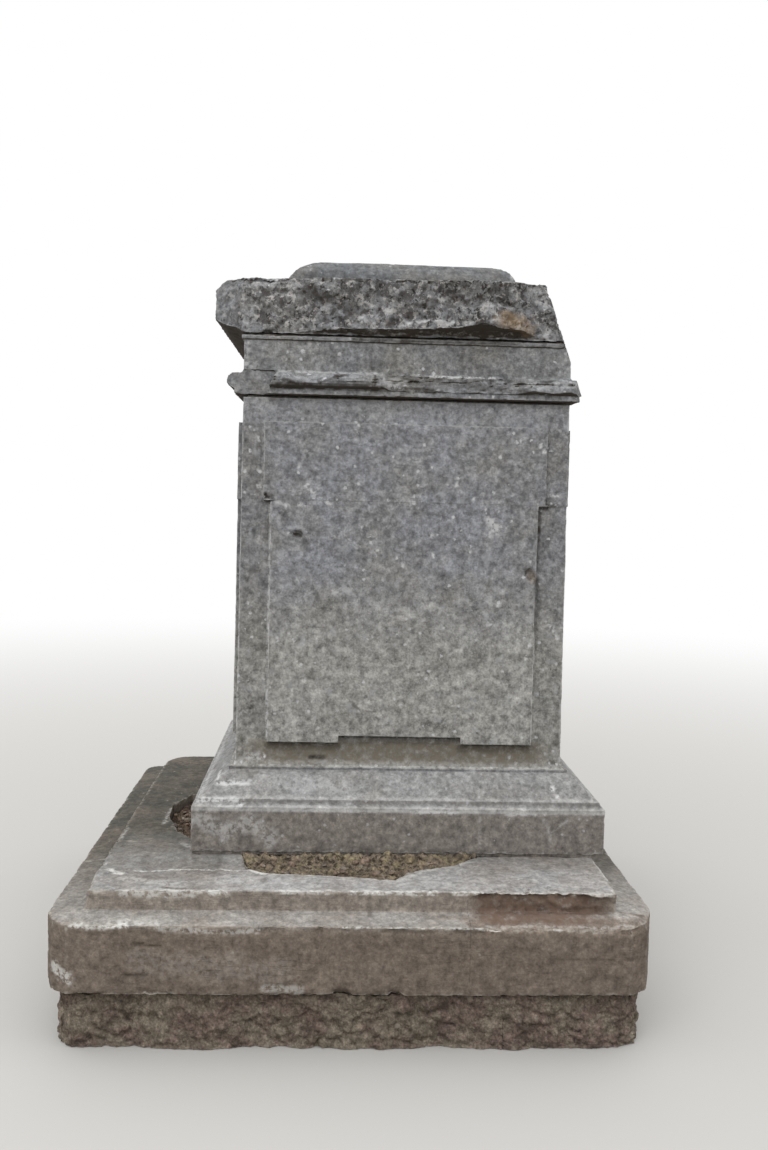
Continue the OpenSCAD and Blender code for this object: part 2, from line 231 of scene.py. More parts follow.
def wear_arrises(at, edges, seed, chip, soften=None):
    """How far each point moves where arrises are rounded and chipped, and how worn it is there.

    chip is the usual rounding and the depth of the few larger flakes. soften(places) gives a
    factor for both."""
    usual, flake = chip
    moves, weight, worn = np.zeros_like(at), np.zeros(len(at)), np.zeros(len(at))
    for start, end, out in edges:
        run = end - start
        length = np.linalg.norm(run)
        ticks = np.linspace(0, 1, max(2, int(length / 3)))
        spots = start + ticks[:, None] * run
        factor = soften(spots) if soften else np.ones(len(spots))
        sizes = usual * factor * (1 + 0.9 * uneven(spots, 70, seed + 3, 4))
        flakes = flake * np.minimum(factor, 1.7) * rising(uneven(spots, 45, seed + 5, 3), 0.22, 0.62)
        along = np.clip((at - start) @ run / length ** 2, 0, 1)
        away = at - start - along[:, None] * run
        gap = np.linalg.norm(away, axis=1)
        near = np.flatnonzero(gap < 3 * (sizes.max() + flakes.max()) + 6)
        if not len(near):
            continue
        size = np.maximum(0.15, np.interp(along[near], ticks, sizes))
        broken = np.interp(along[near], ticks, flakes)
        # Faces farther off than the two beside the arris stay as they are.
        inside = np.maximum(-(away[near] @ out), 0.4 * gap[near])
        rough_inside = inside + 0.25 * flake * uneven(at[near], 11, seed + 7, 2)
        loss = size * rising(1 - inside / (2 * size), 0, 1) ** 2
        loss = np.maximum(loss, np.where(broken > 0.2, broken - rough_inside, 0))
        loss = np.maximum(loss, 0)
        # Where arrises meet, the one that loses most decides.
        weight[near] += loss ** 2
        moves[near] -= out * (loss ** 3)[:, None]
        pale = rising(np.minimum(2 * size, 4) + 1.5 * broken + 2.5 - gap[near], 0, 4)
        worn[near] = np.maximum(worn[near], pale * rising(np.interp(along[near], ticks, factor), 0.2, 0.8))
    return moves / np.maximum(weight, 1e-9)[:, None], worn


def weather(piece, edges, seed, chip=(0.9, 3), wave=1.5, pit=0.8, tight=(), soften=None,
            reshape=None, hollows=(), marks=(), own=None):
    """Wears a stone: worn arrises, slow waves and pits over its faces, and its own damage.

    tight lists planes (direction, place) of close joints, where nothing moves across the joint.
    reshape(at, facing) returns moved points. hollows are (view, line, radius, depth) and marks
    are (attribute, view, marks). own has a function of at and facing for an attribute, of which
    torn also makes the stone rough."""
    mesh = piece.data
    at, facing = points_of(mesh), facing_of(mesh)
    for direction, place in tight:
        facing[np.abs(at[:, direction] - place) < 0.6, direction] = 0
    moves, worn = wear_arrises(at, edges, seed, chip, soften)
    for direction, place in tight:
        moves[np.abs(at[:, direction] - place) < 0.6, direction] = 0
    kept = {name: np.zeros(len(at)) for name in ("wear", "torn", "crust_and_highlight", "grime_and_shade", "ochre", "dust_and_painted_light", "dark_patch")}
    for name, share in (own or {}).items():
        kept[name] = share(at, facing).astype(float)
    loss = wave * (0.5 + 0.5 * uneven(at, 160, seed + 11, 3))
    loss += pit * 2 * np.maximum(0, uneven(at, 30, seed + 17, 4))
    rims = 0.3 * uneven(at, 22, seed + 19, 3) if hollows else 0
    for view, line, radius, depth in hollows:
        bowl = np.clip(1.3 * (nearness(at, view, line, radius) + rims), 0, 1) ** 0.7
        loss += depth * bowl * on_side(at, view)
    if kept["torn"].any():
        lumps = 3 + 8 * uneven(at, 55, seed + 23, 3) + 7 * np.abs(uneven(at, 20, seed + 29, 3))
        loss += kept["torn"] * (lumps + 2.8 * uneven(at, 8, seed + 31, 2))
    loss = np.maximum(loss, 0)
    placed = reshape(at.copy(), facing) if reshape else at
    set_points(mesh, placed + moves - facing * loss[:, None])
    kept["wear"] = np.maximum(kept["wear"], worn * (1 - 0.6 * kept["torn"]))
    for name, view, places in marks:
        kept[name] = np.maximum(kept[name], marked(at, view, places, seed))
    for name, values in kept.items():
        keep(mesh, name, values)


def finish(piece, node, material, smooth=38):
    """Rides a piece on the body, lets it stand for its CAD node and gives it its finish."""
    select_only(piece)
    bpy.ops.object.shade_smooth_by_angle(angle=math.radians(smooth))
    piece.data.materials.append(material)
    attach(piece, "root")
    if node:
        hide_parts(node)


# Materials. Each layer takes the colour under it and returns the colour with the layer on it.

def linear(hex_colour):
    """An sRGB hex colour as linear RGBA."""
    parts = [int(hex_colour[i:i + 2], 16) / 255 for i in (1, 3, 5)]
    return tuple(c / 12.92 if c <= 0.04045 else ((c + 0.055) / 1.055) ** 2.4 for c in parts) + (1.0,)


def add(tree, kind, inputs=(), **settings):
    """Adds one node, with its settings, its input values and its links."""
    made = tree.nodes.new(kind)
    for key, value in settings.items():
        setattr(made, key, value)
    for key, value in dict(inputs).items():
        if isinstance(value, bpy.types.NodeSocket):
            tree.links.new(value, made.inputs[key])
        else:
            made.inputs[key].default_value = value
    return made


def new_material(name):
    """An empty material, its node tree and the place on the object in metres."""
    material = bpy.data.materials.new(name)
    material.use_nodes = True
    tree = material.node_tree
    tree.nodes.clear()
    return material, tree, add(tree, "ShaderNodeTexCoord").outputs["Object"]


def speckle(tree, place, size_mm, low, high, detail=4.0, most=1.0, stretch=(1, 1, 1)):
    """Uneven patches as a share from 0 to most, about size_mm across and stretched by factors."""
    longer = add(tree, "ShaderNodeMapping", {"Vector": place, "Scale": [1 / s for s in stretch]})
    fog = add(tree, "ShaderNodeTexNoise", {"Vector": longer.outputs[0], "Scale": 1000 / size_mm,
              "Detail": detail, "Roughness": 0.65}).outputs["Fac"]
    return add(tree, "ShaderNodeMapRange", {"Value": fog, "From Min": low, "From Max": high,
               "To Min": 0.0, "To Max": most}).outputs["Result"]


def multiplied(tree, *shares):
    """Several shares multiplied. A share comes from a layer, or is the name of a value kept in the mesh."""
    result = None
    for share in shares:
        if isinstance(share, str):
            share = add(tree, "ShaderNodeAttribute", attribute_name=share).outputs["Fac"]
        if result is not None:
            share = add(tree, "ShaderNodeMath", {0: result, 1: share}, operation="MULTIPLY").outputs[0]
        result = share
    return result


def cover(tree, under, over, *shares):
    """One colour over another by some shares multiplied. A colour is hex or comes from a layer."""
    under, over = (linear(c) if isinstance(c, str) else c for c in (under, over))
    return add(tree, "ShaderNodeMix", {"Factor": multiplied(tree, *shares), 6: under, 7: over},
               data_type="RGBA").outputs[2]


def tone(tree, under, darkest, lightest, *shares):
    """A colour made darker or lighter, by a factor that runs with some shares multiplied."""
    factor = add(tree, "ShaderNodeMapRange", {"Value": multiplied(tree, *shares), "To Min": darkest,
                 "To Max": lightest}).outputs["Result"]
    return add(tree, "ShaderNodeVectorMath", {0: under, "Scale": factor}, operation="SCALE").outputs[0]


def between(tree, place, bottom, top, uneven_mm=25):
    """A share that is 1 below the height bottom and 0 above the height top, with a ragged line."""
    ragged = speckle(tree, place, 60, 0.3, 0.7, most=uneven_mm * MM)
    height = add(tree, "ShaderNodeSeparateXYZ", {0: place}).outputs["Z"]
    level = add(tree, "ShaderNodeMath", {0: height, 1: ragged}, operation="ADD").outputs[0]
    lift = AXIS[2] + uneven_mm * MM / 2
    return add(tree, "ShaderNodeMapRange", {"Value": level, "From Min": bottom * MM + lift,
               "From Max": top * MM + lift, "To Min": 1.0, "To Max": 0.0}).outputs["Result"]


def turned(tree, low, high):
    """A share from the slope of the face: 0 where its normal's height is low, 1 where it is high."""
    slope = add(tree, "ShaderNodeNewGeometry").outputs["Normal"]
    height = add(tree, "ShaderNodeSeparateXYZ", {0: slope}).outputs["Z"]
    return add(tree, "ShaderNodeMapRange", {"Value": height, "From Min": low,
               "From Max": high}).outputs["Result"]


def flecks(tree, place, spacing_mm, radius, groups, most):
    """Small ragged spots that stand in loose groups, such as crusts of lichen."""
    cells = add(tree, "ShaderNodeTexVoronoi", {"Vector": place, "Scale": 1000 / spacing_mm,
                "Randomness": 1.0}).outputs["Distance"]
    ragged = speckle(tree, place, 7, 0.3, 0.7, 3.0, most=radius * 0.9)
    cells = add(tree, "ShaderNodeMath", {0: cells, 1: ragged}, operation="ADD").outputs[0]
    spot = add(tree, "ShaderNodeMapRange", {"Value": cells, "From Min": radius,
               "From Max": radius * 1.4, "To Min": 1.0, "To Max": 0.0}).outputs["Result"]
    grouped = speckle(tree, place, 3.2 * spacing_mm, groups, groups + 0.06, most=most)
    return multiplied(tree, spot, grouped)


def surface(material, tree, place, colour, grain_mm, relief_mm, roughness=0.92, strata=None):
    """The shader: the colour, a matt surface and a fine relief of grains and small hollows."""
    grain = add(tree, "ShaderNodeTexNoise", {"Vector": place, "Scale": 1000 / grain_mm,
                "Detail": 3.0, "Roughness": 0.7}).outputs["Fac"]
    dents = add(tree, "ShaderNodeTexNoise", {"Vector": place, "Scale": 1000 / (grain_mm * 5),
                "Detail": 5.0, "Roughness": 0.6}).outputs["Fac"]
    height = add(tree, "ShaderNodeMath", {0: dents, 1: 2.0, 2: grain}, operation="MULTIPLY_ADD").outputs[0]
    if strata:
        height = add(tree, "ShaderNodeMath", {0: strata, 1: -0.8, 2: height},
                     operation="MULTIPLY_ADD").outputs[0]
    bump = add(tree, "ShaderNodeBump", {"Height": height, "Strength": 0.8,
               "Distance": relief_mm * MM}).outputs["Normal"]
    shader = add(tree, "ShaderNodeBsdfPrincipled", {"Base Color": colour, "Roughness": roughness,
                 "Specular IOR Level": 0.25, "Normal": bump})
    add(tree, "ShaderNodeOutputMaterial", {"Surface": shader.outputs[0]})
    return material


def stone_layers(tree, place, colour, warm, broad=0.36, middle=0.42, fine=0.2):
    """What all the stones share: broad warm stains, then mottles, grains and rain streaks.

    broad, middle and fine are how far mottles of those sizes swing the colour."""
    colour = cover(tree, colour, warm, speckle(tree, place, 170, 0.44, 0.66, most=0.5))
    for size_mm, swing in ((70, broad * 0.28), (27, broad), (13, middle), (5, fine)):
        mottles = speckle(tree, place, size_mm, 0.3, 0.7, detail=3.0)
        colour = tone(tree, colour, 1 - swing, 1 + swing, mottles)
    return tone(tree, colour, 0.93, 1.07, speckle(tree, place, 16, 0.3, 0.7, stretch=(1, 1, 6)))


def damage_layers(tree, place, colour, pale, grime_and_shade, ochre, lichen="#c6c6c5"):
    """Broken stone, worn arrises, crusts and dirt, with painted shade and painted highlights, where the
    points of the mesh say so.
    """
    colour = tone(tree, colour, 1.0, 1.02, "torn")
    # Broken stone is blotched dark and pale, and its pits are black.
    for stain, size_mm, low, high, detail, most in (("#464241", 26, 0.50, 0.56, 6.0, 0.85),
                                                    ("#b3b0ad", 19, 0.54, 0.61, 5.0, 0.75),
                                                    ("#2a2725", 15, 0.57, 0.63, 4.0, 0.9)):
        blotches = speckle(tree, place, size_mm, low, high, detail, most)
        colour = cover(tree, colour, stain, "torn", blotches)
    colour = cover(tree, colour, ochre, "ochre", speckle(tree, place, 30, 0.2, 0.5))
    colour = cover(tree, colour, grime_and_shade, "grime_and_shade", speckle(tree, place, 24, 0.3, 0.55, 6.0))
    colour = cover(tree, colour, pale, "wear", speckle(tree, place, 22, 0.42, 0.58, 6.0, 0.7))
    return cover(tree, colour, lichen, "crust_and_highlight", speckle(tree, place, 14, 0.42, 0.54, 5.0))


def limestone():
    """Grey limestone, sawn and then weathered: finely speckled light and dark, with white lichen."""
    material, tree, place = new_material("weathered_limestone")
    # The lower half is a little paler than the upper part, and the neck a little darker.
    colour = cover(tree, "#838488", "#94938f", between(tree, place, 540, 780, 90))
    colour = cover(tree, "#7f8082", colour, between(tree, place, NECK_FOOT + 3, NECK_FOOT + 19))
    # The recessed margins are darker than the panel.
    colour = cover(tree, colour, "#64625e", "dark_patch")
    colour = stone_layers(tree, place, colour, "#807d75")
    # Dark strokes lie along the bed of the upper stone, and coarser pale grains show in the lower one.
    strokes = speckle(tree, place, 11, 0.56, 0.66, most=0.55, stretch=(3.5, 3.5, 1))
    colour = cover(tree, colour, "#5b5b5e", between(tree, place, 950, 700), strokes)
    grains = speckle(tree, place, 9, 0.56, 0.66, 3.0, 0.45)
    colour = cover(tree, colour, "#b0afac", between(tree, place, 600, 850), grains)
    # Faint pale rings of old lichen, dark specks of soot and white specks of live lichen.
    colour = cover(tree, colour, "#9fa0a3", speckle(tree, place, 34, 0.58, 0.68, 3.0, most=0.5))
    colour = cover(tree, colour, "#3f3c3a", flecks(tree, place, 24, 0.15, 0.50, 0.5))
    colour = cover(tree, colour, "#c3c3c4", flecks(tree, place, 27, 0.22, 0.50, 0.85))
    # A beige film of dust, with painted shade, covers the sheltered strip under the panel.
    colour = cover(tree, colour, "#6d665a", "dust_and_painted_light", speckle(tree, place, 24, 0.2, 0.55, most=0.92))
    # Painted shade, with some soot, darkens the undersides.
    colour = cover(tree, colour, "#463f37", turned(tree, -0.35, -0.75))
    colour = damage_layers(tree, place, colour, "#a9a8a6", "#38332e", "#9a8162", "#d0d0d0")
    return surface(material, tree, place, colour, 4, 1.2)


def washed_limestone():
    """The same stone where rain washes it: pale and bluish on slopes, with painted light on upward faces,
    browner on the fascia.
    """
    material, tree, place = new_material("rain_washed_limestone")
    colour = cover(tree, "#838281", "#7b756f", between(tree, place, FASCIA_TOP - 8, FASCIA_TOP + 6, 8))
    # Faces that turn upward are lighter: painted light, with rain-wash.
    colour = cover(tree, colour, "#8a8a89", turned(tree, 0.15, 0.5))
    # Painted highlight: the bead and the foot of the slope above it are palest.
    colour = cover(tree, colour, "#aaa9a7", "dust_and_painted_light")
    # The cushion on top is darker than the base.
    colour = cover(tree, "#67696b", colour, between(tree, place, 1500, 1560))
    colour = stone_layers(tree, place, colour, "#7f7a74", 0.29, 0.34, 0.17)
    colour = cover(tree, colour, "#3f3c3a", flecks(tree, place, 26, 0.14, 0.52, 0.5))
    colour = cover(tree, colour, "#bbbbbc", flecks(tree, place, 26, 0.18, 0.48, 0.6))
    colour = damage_layers(tree, place, colour, "#b3b2b0", "#4f4943", "#8f7c5f")
    return surface(material, tree, place, colour, 4, 1.1)


def kerb_limestone():
    """The plinth stones: rain-washed grey on top, with painted light there, brown with soil splash down their
    faces.
    """
    material, tree, place = new_material("brown_grey_kerb_stone")
    colour = cover(tree, "#8b837a", "#71665c", between(tree, place, LEDGE - 16, LEDGE, 14))
    # The tops are pale grey where the rain has washed them, with painted light there too, and a little
    # browner on the ledge.
    washed_and_lit_tops = cover(tree, "#9e9c9a", "#97938e", between(tree, place, LEDGE + 20, LEDGE + 40, 2))
    colour = cover(tree, colour, washed_and_lit_tops, turned(tree, 0.5, 0.9), speckle(tree, place, 160, 0.2, 0.4))
    # It turns beige on the worn lip, and darker on the tops beside and behind the pedestal.
    colour = cover(tree, colour, "#786b60", "dust_and_painted_light", speckle(tree, place, 24, 0.25, 0.5))
    colour = cover(tree, colour, "#504e47", "dark_patch")
    colour = stone_layers(tree, place, colour, "#7b7066", 0.21, 0.3, 0.18)
    # Thin beds of the stone show as faint uneven lines here and there.
    beds = multiplied(tree, speckle(tree, place, 15, 0.46, 0.62, 3.0, stretch=(5, 5, 1)),
                      speckle(tree, place, 150, 0.42, 0.58))
    colour = tone(tree, colour, 1.02, 0.88, beds)
    colour = cover(tree, colour, "#4d463f", flecks(tree, place, 30, 0.14, 0.50, 0.5))
    colour = cover(tree, colour, "#aaa49b", flecks(tree, place, 34, 0.15, 0.52, 0.5))
    colour = damage_layers(tree, place, colour, "#a9a39a", "#4c443b", "#695548", "#cfcdc8")
    return surface(material, tree, place, colour, 5, 1.2, strata=beds)


def rubble_stone():
    """Rubble in old lime concrete: brown, rough, with pale stones here and there."""
    material, tree, place = new_material("rubble_concrete")
    colour = cover(tree, "#776e61", "#6f6058", speckle(tree, place, 60, 0.45, 0.6))
    colour = stone_layers(tree, place, colour, "#61564b", 0.24, 0.44, 0.42)
    colour = cover(tree, colour, "#37302a", speckle(tree, place, 30, 0.56, 0.66, 5.0, 0.7, (2, 2, 1)))
    colour = cover(tree, colour, "#8f877c", flecks(tree, place, 34, 0.24, 0.5, 0.6))
    return surface(material, tree, place, colour, 6, 3)


def lime_mortar():
    """Lime mortar, weathered back and grey with dirt."""
    material, tree, place = new_material("weathered_lime_mortar")
    return surface(material, tree, place, stone_layers(tree, place, "#6c6660", "#625a52"), 3, 1)


def stone_dust_mortar():
    """Fine pointing of lime and stone dust, all but the colour of the die it fills."""
    material, tree, place = new_material("stone_dust_pointing")
    return surface(material, tree, place, stone_layers(tree, place, "#7c7c7e", "#77736d"), 3, 0.8)


def dry_earth():
    """Crumbly dry loam, darker and redder in the shade at the left of the pedestal."""
    material, tree, place = new_material("dry_earth")
    colour = cover(tree, "#726759", "#786e57", speckle(tree, place, 26, 0.5, 0.62))
    across = add(tree, "ShaderNodeSeparateXYZ", {0: place}).outputs["X"]
    shade = add(tree, "ShaderNodeMapRange", {"Value": across, "From Min": AXIS[0] - 0.56,
                "From Max": AXIS[0] - 0.53, "To Min": 0.8, "To Max": 0.0}).outputs["Result"]
    colour = cover(tree, colour, "#45362e", shade)
    colour = stone_layers(tree, place, colour, "#6a5c4b", 0.6, 0.5, 0.25)
    # Painted shade lies in the gaps between the crumbs, and some crumbs are dry and pale.
    colour = cover(tree, colour, "#2e2620", speckle(tree, place, 15, 0.52, 0.60, 5.0, 0.85))
    colour = cover(tree, colour, "#93816f", speckle(tree, place, 22, 0.60, 0.66, 3.0, 0.5))
    return surface(material, tree, place, colour, 7, 4, roughness=0.97)


def pebble_stone():
    """Broken bits of limestone that lie on the earth: dusty greys and buffs."""
    material, tree, place = new_material("dusty_pebbles")
    colour = cover(tree, "#787067", "#7d6c5f", speckle(tree, place, 40, 0.45, 0.55, 1.0))
    return surface(material, tree, place, stone_layers(tree, place, colour, "#6f604f"), 4, 1)


LIMESTONE = limestone()
WASHED = washed_limestone()
KERB_STONE = kerb_limestone()
RUBBLE = rubble_stone()
MORTAR = lime_mortar()
POINTING = stone_dust_mortar()
EARTH = dry_earth()
PEBBLES = pebble_stone()


# The pedestal, from its base up.

def worn_stone(node, name, steps, seed, material, slot, close_to=((), (), ()), beds=both_beds, **wear):
    """One stone, gridded and weathered. The grid is closer beside the places in close_to."""
    piece = stone_from(node, name)
    edges = arrises(piece)
    cut_grid(piece, *map(cuts, *box_of(node), steps, close_to), beds)
    weather(piece, edges, seed, **wear)
    finish(piece, node, material)


def all_round(*distances):
    """The same distances from the axis on all four sides."""
    places = [side * distance for distance in distances for side in (-1, 1)]
    return places, places


# Marks are lines of places on the front, each with its radius and its strength.
BASE_CRUSTS = [
    # Rings on the slope and the bead at the left, and the white line along the bead.
    ([(-500, 196), (-498, 183), (-411, 181), (-411, 190)], 7, 1),
    ([(-552, 144), (-429, 146), (-429, 131)], 7, 1), ([(-500, 131), (-435, 129)], 6, 0.8),
    ([(-430, 122), (560, 122)], 5, 0.2), ([(40, 121), (160, 121)], 5, 0.9),
    ([(294, 117), (393, 117)], 5, 0.7), ([(220, 112), (222, 12)], 3.5, 0.25),
    # Two spots at the right of the slope, and a broad film at its left.
    ([(425, 178)], 9, 1), ([(438, 160)], 7, 1), ([(-380, 190), (-150, 176)], 22, 0.3),
    # A film on the left end of the fascia and a forked scratch on the right end.
    ([(-545, 95), (-470, 60), (-400, 96), (-350, 44)], 30, 0.4),
    ([(393, 110), (412, 66), (418, 42)], 4.5, 0.4), ([(459, 101), (430, 80), (412, 66)], 4.5, 0.4)]
# Painted shade along the foot of the base, where it meets the plinth.
BASE_FOOT_SHADE = [([(-560, 3), (560, 3)], 9, 0.7), ([(-250, 5), (300, 5)], 16, 0.5)]


def soft_mouldings(spots):
    """Rounded mouldings have no arris to wear, and the joint on top is tight."""
    bead = (spots[:, 2] > FASCIA_TOP - 8) & (spots[:, 2] < OGEE_FOOT + 3)
    return np.where(bead, 0.1, 1) * np.where(spots[:, 2] > 205, 0.15, 1)


def groove_shade(at, facing):
    """Painted shade in the groove between the bead and the slope above it, all round."""
    depth = rising(at[:, 2], BEAD_TOP, BEAD_TOP + 3) * (1 - rising(at[:, 2], OGEE_FOOT - 5, OGEE_FOOT))
    return depth * (0.2 + 0.15 * uneven(at, 90, 37, 3))


def bead_highlight(at, facing):
    """Painted highlight on the bead and the foot of the slope, all round."""
    height = at[:, 2]
    bead = rising(height, FASCIA_TOP - 3, FASCIA_TOP + 2) * (1 - rising(height, BEAD_TOP - 4, BEAD_TOP + 1))
    foot = rising(height, OGEE_FOOT - 2, OGEE_FOOT + 1) * (1 - rising(height, OGEE_FOOT + 4, OGEE_FOOT + 9))
    return np.maximum(bead, 0.7 * foot)


def filled_groove(at, facing):
    """Dirt and lime fill the notch under the bead and half of the groove above it."""
    sides = at[:, :2]
    reach = np.abs(sides)
    height = at[:, 2][:, None]
    notch = (reach > BASE_FACE - 6) & (height > FASCIA_TOP - 1) & (height < FASCIA_TOP + 7)
    groove = (reach > BASE_FACE - 24) & (height > BEAD_TOP - 1.5) & (height < OGEE_FOOT + 1)
    line = np.interp(height, (BEAD_TOP - 2, BEAD_TOP + 3, OGEE_FOOT), (557, 552, 550))
    reach = np.where(notch, np.maximum(reach, BASE_FACE - 0.2), reach)
    reach = np.where(groove, np.maximum(reach, line), reach)
    at[:, :2] = np.sign(sides) * reach
    return at


def base_stone():
    """The moulded base: fascia, bead, groove and the slope up to the die."""
    worn_stone("pedestal_base", "base_stone", (6.5, 10, 5), 1, WASHED, "limestone_pale",
               (*all_round(BASE_FACE), (FASCIA_TOP, BEAD_TOP, OGEE_FOOT)), chip=(1.2, 3), wave=1.1, pit=0.6,
               soften=soft_mouldings, reshape=filled_groove,
               own={"grime_and_shade": groove_shade, "dust_and_painted_light": bead_highlight,
                    # The wear share also takes half of the painted highlight on the bead.
                    "wear": lambda at, facing: 0.5 * bead_highlight(at, facing)},
               marks=[("crust_and_highlight", FRONT, BASE_CRUSTS), ("grime_and_shade", FRONT, BASE_FOOT_SHADE)])


DIE_HOLLOWS = [
    (FRONT, [(-302, 867), (-286, 867)], 8, 13), (FRONT, [(352, 772), (358, 760)], 13, 14),
    (FRONT, [(372, 745), (374, 700), (372, 612)], 10, 9), (FRONT, [(-384, 968), (-370, 962)], 9, 10),
    (FRONT, [(388, 974), (388, 962)], 6, 5), (FRONT, [(380, 952), (391, 952)], 7, 10),
    (FRONT, [(-436, 381), (-406, 378)], 6, 5), (FRONT, [(-246, 244), (-212, 244)], 5, 4)]
DIE_SPOTS = [
    (-406, 1125), (-293, 1052), (-402, 1039), (-401, 995), (-351, 948), (191, 974), (140, 1011),
    (369, 1126), (381, 1107), (75, 872), (80, 815), (-377, 242), (-173, 236), (-402, 247),
    (146, 1031), (213, 985), (219, 943), (-2, 788), (265, 684), (357, 569), (347, 534)]
DIE_CRUSTS_AND_HIGHLIGHTS = [([spot], 7, 1) for spot in DIE_SPOTS] + [
    ([(233, 920), (262, 885)], 13, 0.7), ([(233, 881)], 15, 0.7), ([(-425, 248), (-385, 243)], 14, 0.5),
    ([(400, 641), (420, 622), (438, 586)], 5, 0.8), ([(-210, 700), (-150, 720)], 14, 0.4),
    ([(400, 986), (430, 986)], 5, 0.9), ([(-267, 989), (-201, 947)], 6, 0.7),
    ([(-345, 955), (-320, 940)], 7, 0.8), ([(-290, 948)], 9, 0.8),
    # Painted highlights as pale crust along the outer arrises, the edges of the panel, the strip above it and
    # the foot.
    ([(-457, 225), (-451, 1235)], 4, 0.6), ([(457, 225), (451, 1235)], 4, 0.6),
    ([(-371, 296), (-371, 955)], 4, 0.75), ([(371, 296), (371, 600)], 3.5, 0.7),
    ([(-391, 965), (-391, 1168)], 4, 0.4), ([(-380, 1203), (380, 1203)], 44, 0.13),
    ([(-450, 224), (450, 224)], 14, 0.16)]
DIE_GRIME_AND_SHADE = [
    # Painted shade in the hollows, in the slot at the joint and beside the panel's right edge, and dark
    # spots.
    ([(-302, 867), (-286, 867)], 10, 1), ([(-384, 968), (-370, 962)], 12, 1),
    ([(378, 952), (393, 952)], 8, 1), ([(393, 957), (470, 957)], 4, 0.9),
    ([(376, 950), (375, 860)], 6, 0.9), ([(375, 860), (373, 790)], 6, 0.5),
    ([(345, 784), (340, 770), (352, 757)], 5, 0.8), ([(-424, 765), (-396, 762)], 5, 0.7),
    ([(-436, 381), (-406, 378)], 7, 1), ([(-246, 244), (-212, 244)], 7, 1),
    ([(-130, 395), (-105, 376), (-70, 378)], 6, 0.6)]
# A painted shadow hangs under each stretch of the panel's lower edge.
for left, right, edge in ((-NOTCH_EDGE + 2, NOTCH_EDGE - 2, NOTCH_TOP - 4),
                          (-PANEL_EDGE + 2, -NOTCH_EDGE - 2, PANEL_FOOT - 5),
                          (NOTCH_EDGE + 2, PANEL_EDGE - 2, PANEL_FOOT - 5)):
    DIE_GRIME_AND_SHADE += [([(left, edge), (right, edge)], 5, 0.75), ([(left, edge - 8), (right, edge - 8)], 15, 0.45)]
DIE_BROWN = [([(352, 772), (362, 755)], 14, 0.3)]


def calm_joint(spots):
    """Arrises along the tight joints in and under the die are sharper than the others."""
    off_joint = rising(np.abs(spots[:, 2] - DIE_JOINT), 2, 9)
    return 0.15 + 0.85 * off_joint * rising(np.abs(spots[:, 2] - DIE_FOOT), 6, 12)


def on_margin(at):
    """True off the raised panels of the die."""
    return np.abs(at[:, :2]).max(axis=1) < MARGIN_LIMIT


def dust_and_shade_under_panel(at, facing):
    """Share of dust and painted shade on the die: thick under the middle of each panel, thin at its foot."""
    aside = np.abs(at[:, :2]).min(axis=1)
    under = (0.35 + 0.65 * rising(at[:, 2], 220, 240)) * (1 - rising(at[:, 2], PANEL_FOOT - 3, NOTCH_TOP - 4))
    under *= 1 - 0.8 * rising(aside, PANEL_EDGE, 430)
    return under * on_margin(at)


def darker_margins(at, facing):
    """The margins beside the panels are darker, but not the strip above them."""
    return 0.3 * on_margin(at) * (1 - rising(at[:, 2], 1160, 1180))


def die_stones():
    """Both stones of the die share one run of weathering, so that it crosses the joint."""
    shared = dict(chip=(0.7, 1.3), wave=1.4, pit=0.7, soften=calm_joint, hollows=DIE_HOLLOWS,
                  own={"dust_and_painted_light": dust_and_shade_under_panel, "dark_patch": darker_margins},
                  marks=[("crust_and_highlight", FRONT, DIE_CRUSTS_AND_HIGHLIGHTS), ("grime_and_shade", FRONT, DIE_GRIME_AND_SHADE),
                         ("ochre", FRONT, DIE_BROWN)])
    worn_stone("die_lower", "die_lower_stone", (7, 10, 7), 2, LIMESTONE, "limestone",
               (*all_round(LOWER_CORNER, PANEL_EDGE, NOTCH_EDGE), (PANEL_FOOT, NOTCH_TOP)),
               tight=[(2, DIE_JOINT)], **shared)
    worn_stone("die_upper", "die_upper_stone", (7, 10, 7), 2, LIMESTONE, "limestone",
               (*all_round(UPPER_CORNER, UPPER_PANEL_EDGE), (PANEL_TOP,)),
               tight=[(2, box_of("die_upper")[0][2])], **shared)


def joint_filling(joint, stone_above, set_back, material, overlap=1.2):
    """Hard old mortar that fills the bed joint under a stone, almost flush.

    It reaches a little way behind the worn arrises of both stones."""
    low, high = (corner[2] for corner in box_of(joint))
    piece = stone_from(stone_above, joint + "_mortar")
    select_only(piece)
    bpy.ops.object.mode_set(mode="EDIT")
    bpy.ops.mesh.select_all(action="SELECT")
    bpy.ops.mesh.bisect(plane_co=AXIS + (0, 0, (high + 1) * MM), plane_no=(0, 0, 1),
                        use_fill=True, clear_outer=True)
    bpy.ops.object.mode_set(mode="OBJECT")
    reach = box_of(stone_above)[1][0]
    cut_grid(piece, cuts(-reach, reach, 13), cuts(-reach, reach, 13), (), both_beds)
    at = points_of(piece.data)
    at[:, 2] = np.where(at[:, 2] > high + 0.5, high + overlap, low - overlap)
    # The same slow waves as the faces of the die have.
    loss = set_back + 1.4 * (0.5 + 0.5 * uneven(at, 160, 13, 3)) + 1.4 * np.maximum(0, uneven(at, 30, 19, 4))
    at[:, :2] -= np.sign(at[:, :2]) * loss[:, None] * (np.abs(at[:, :2]) > 100)
    set_points(piece.data, at)
    finish(piece, joint, material)


BEAD_HEAD = NECK_FOOT + 69
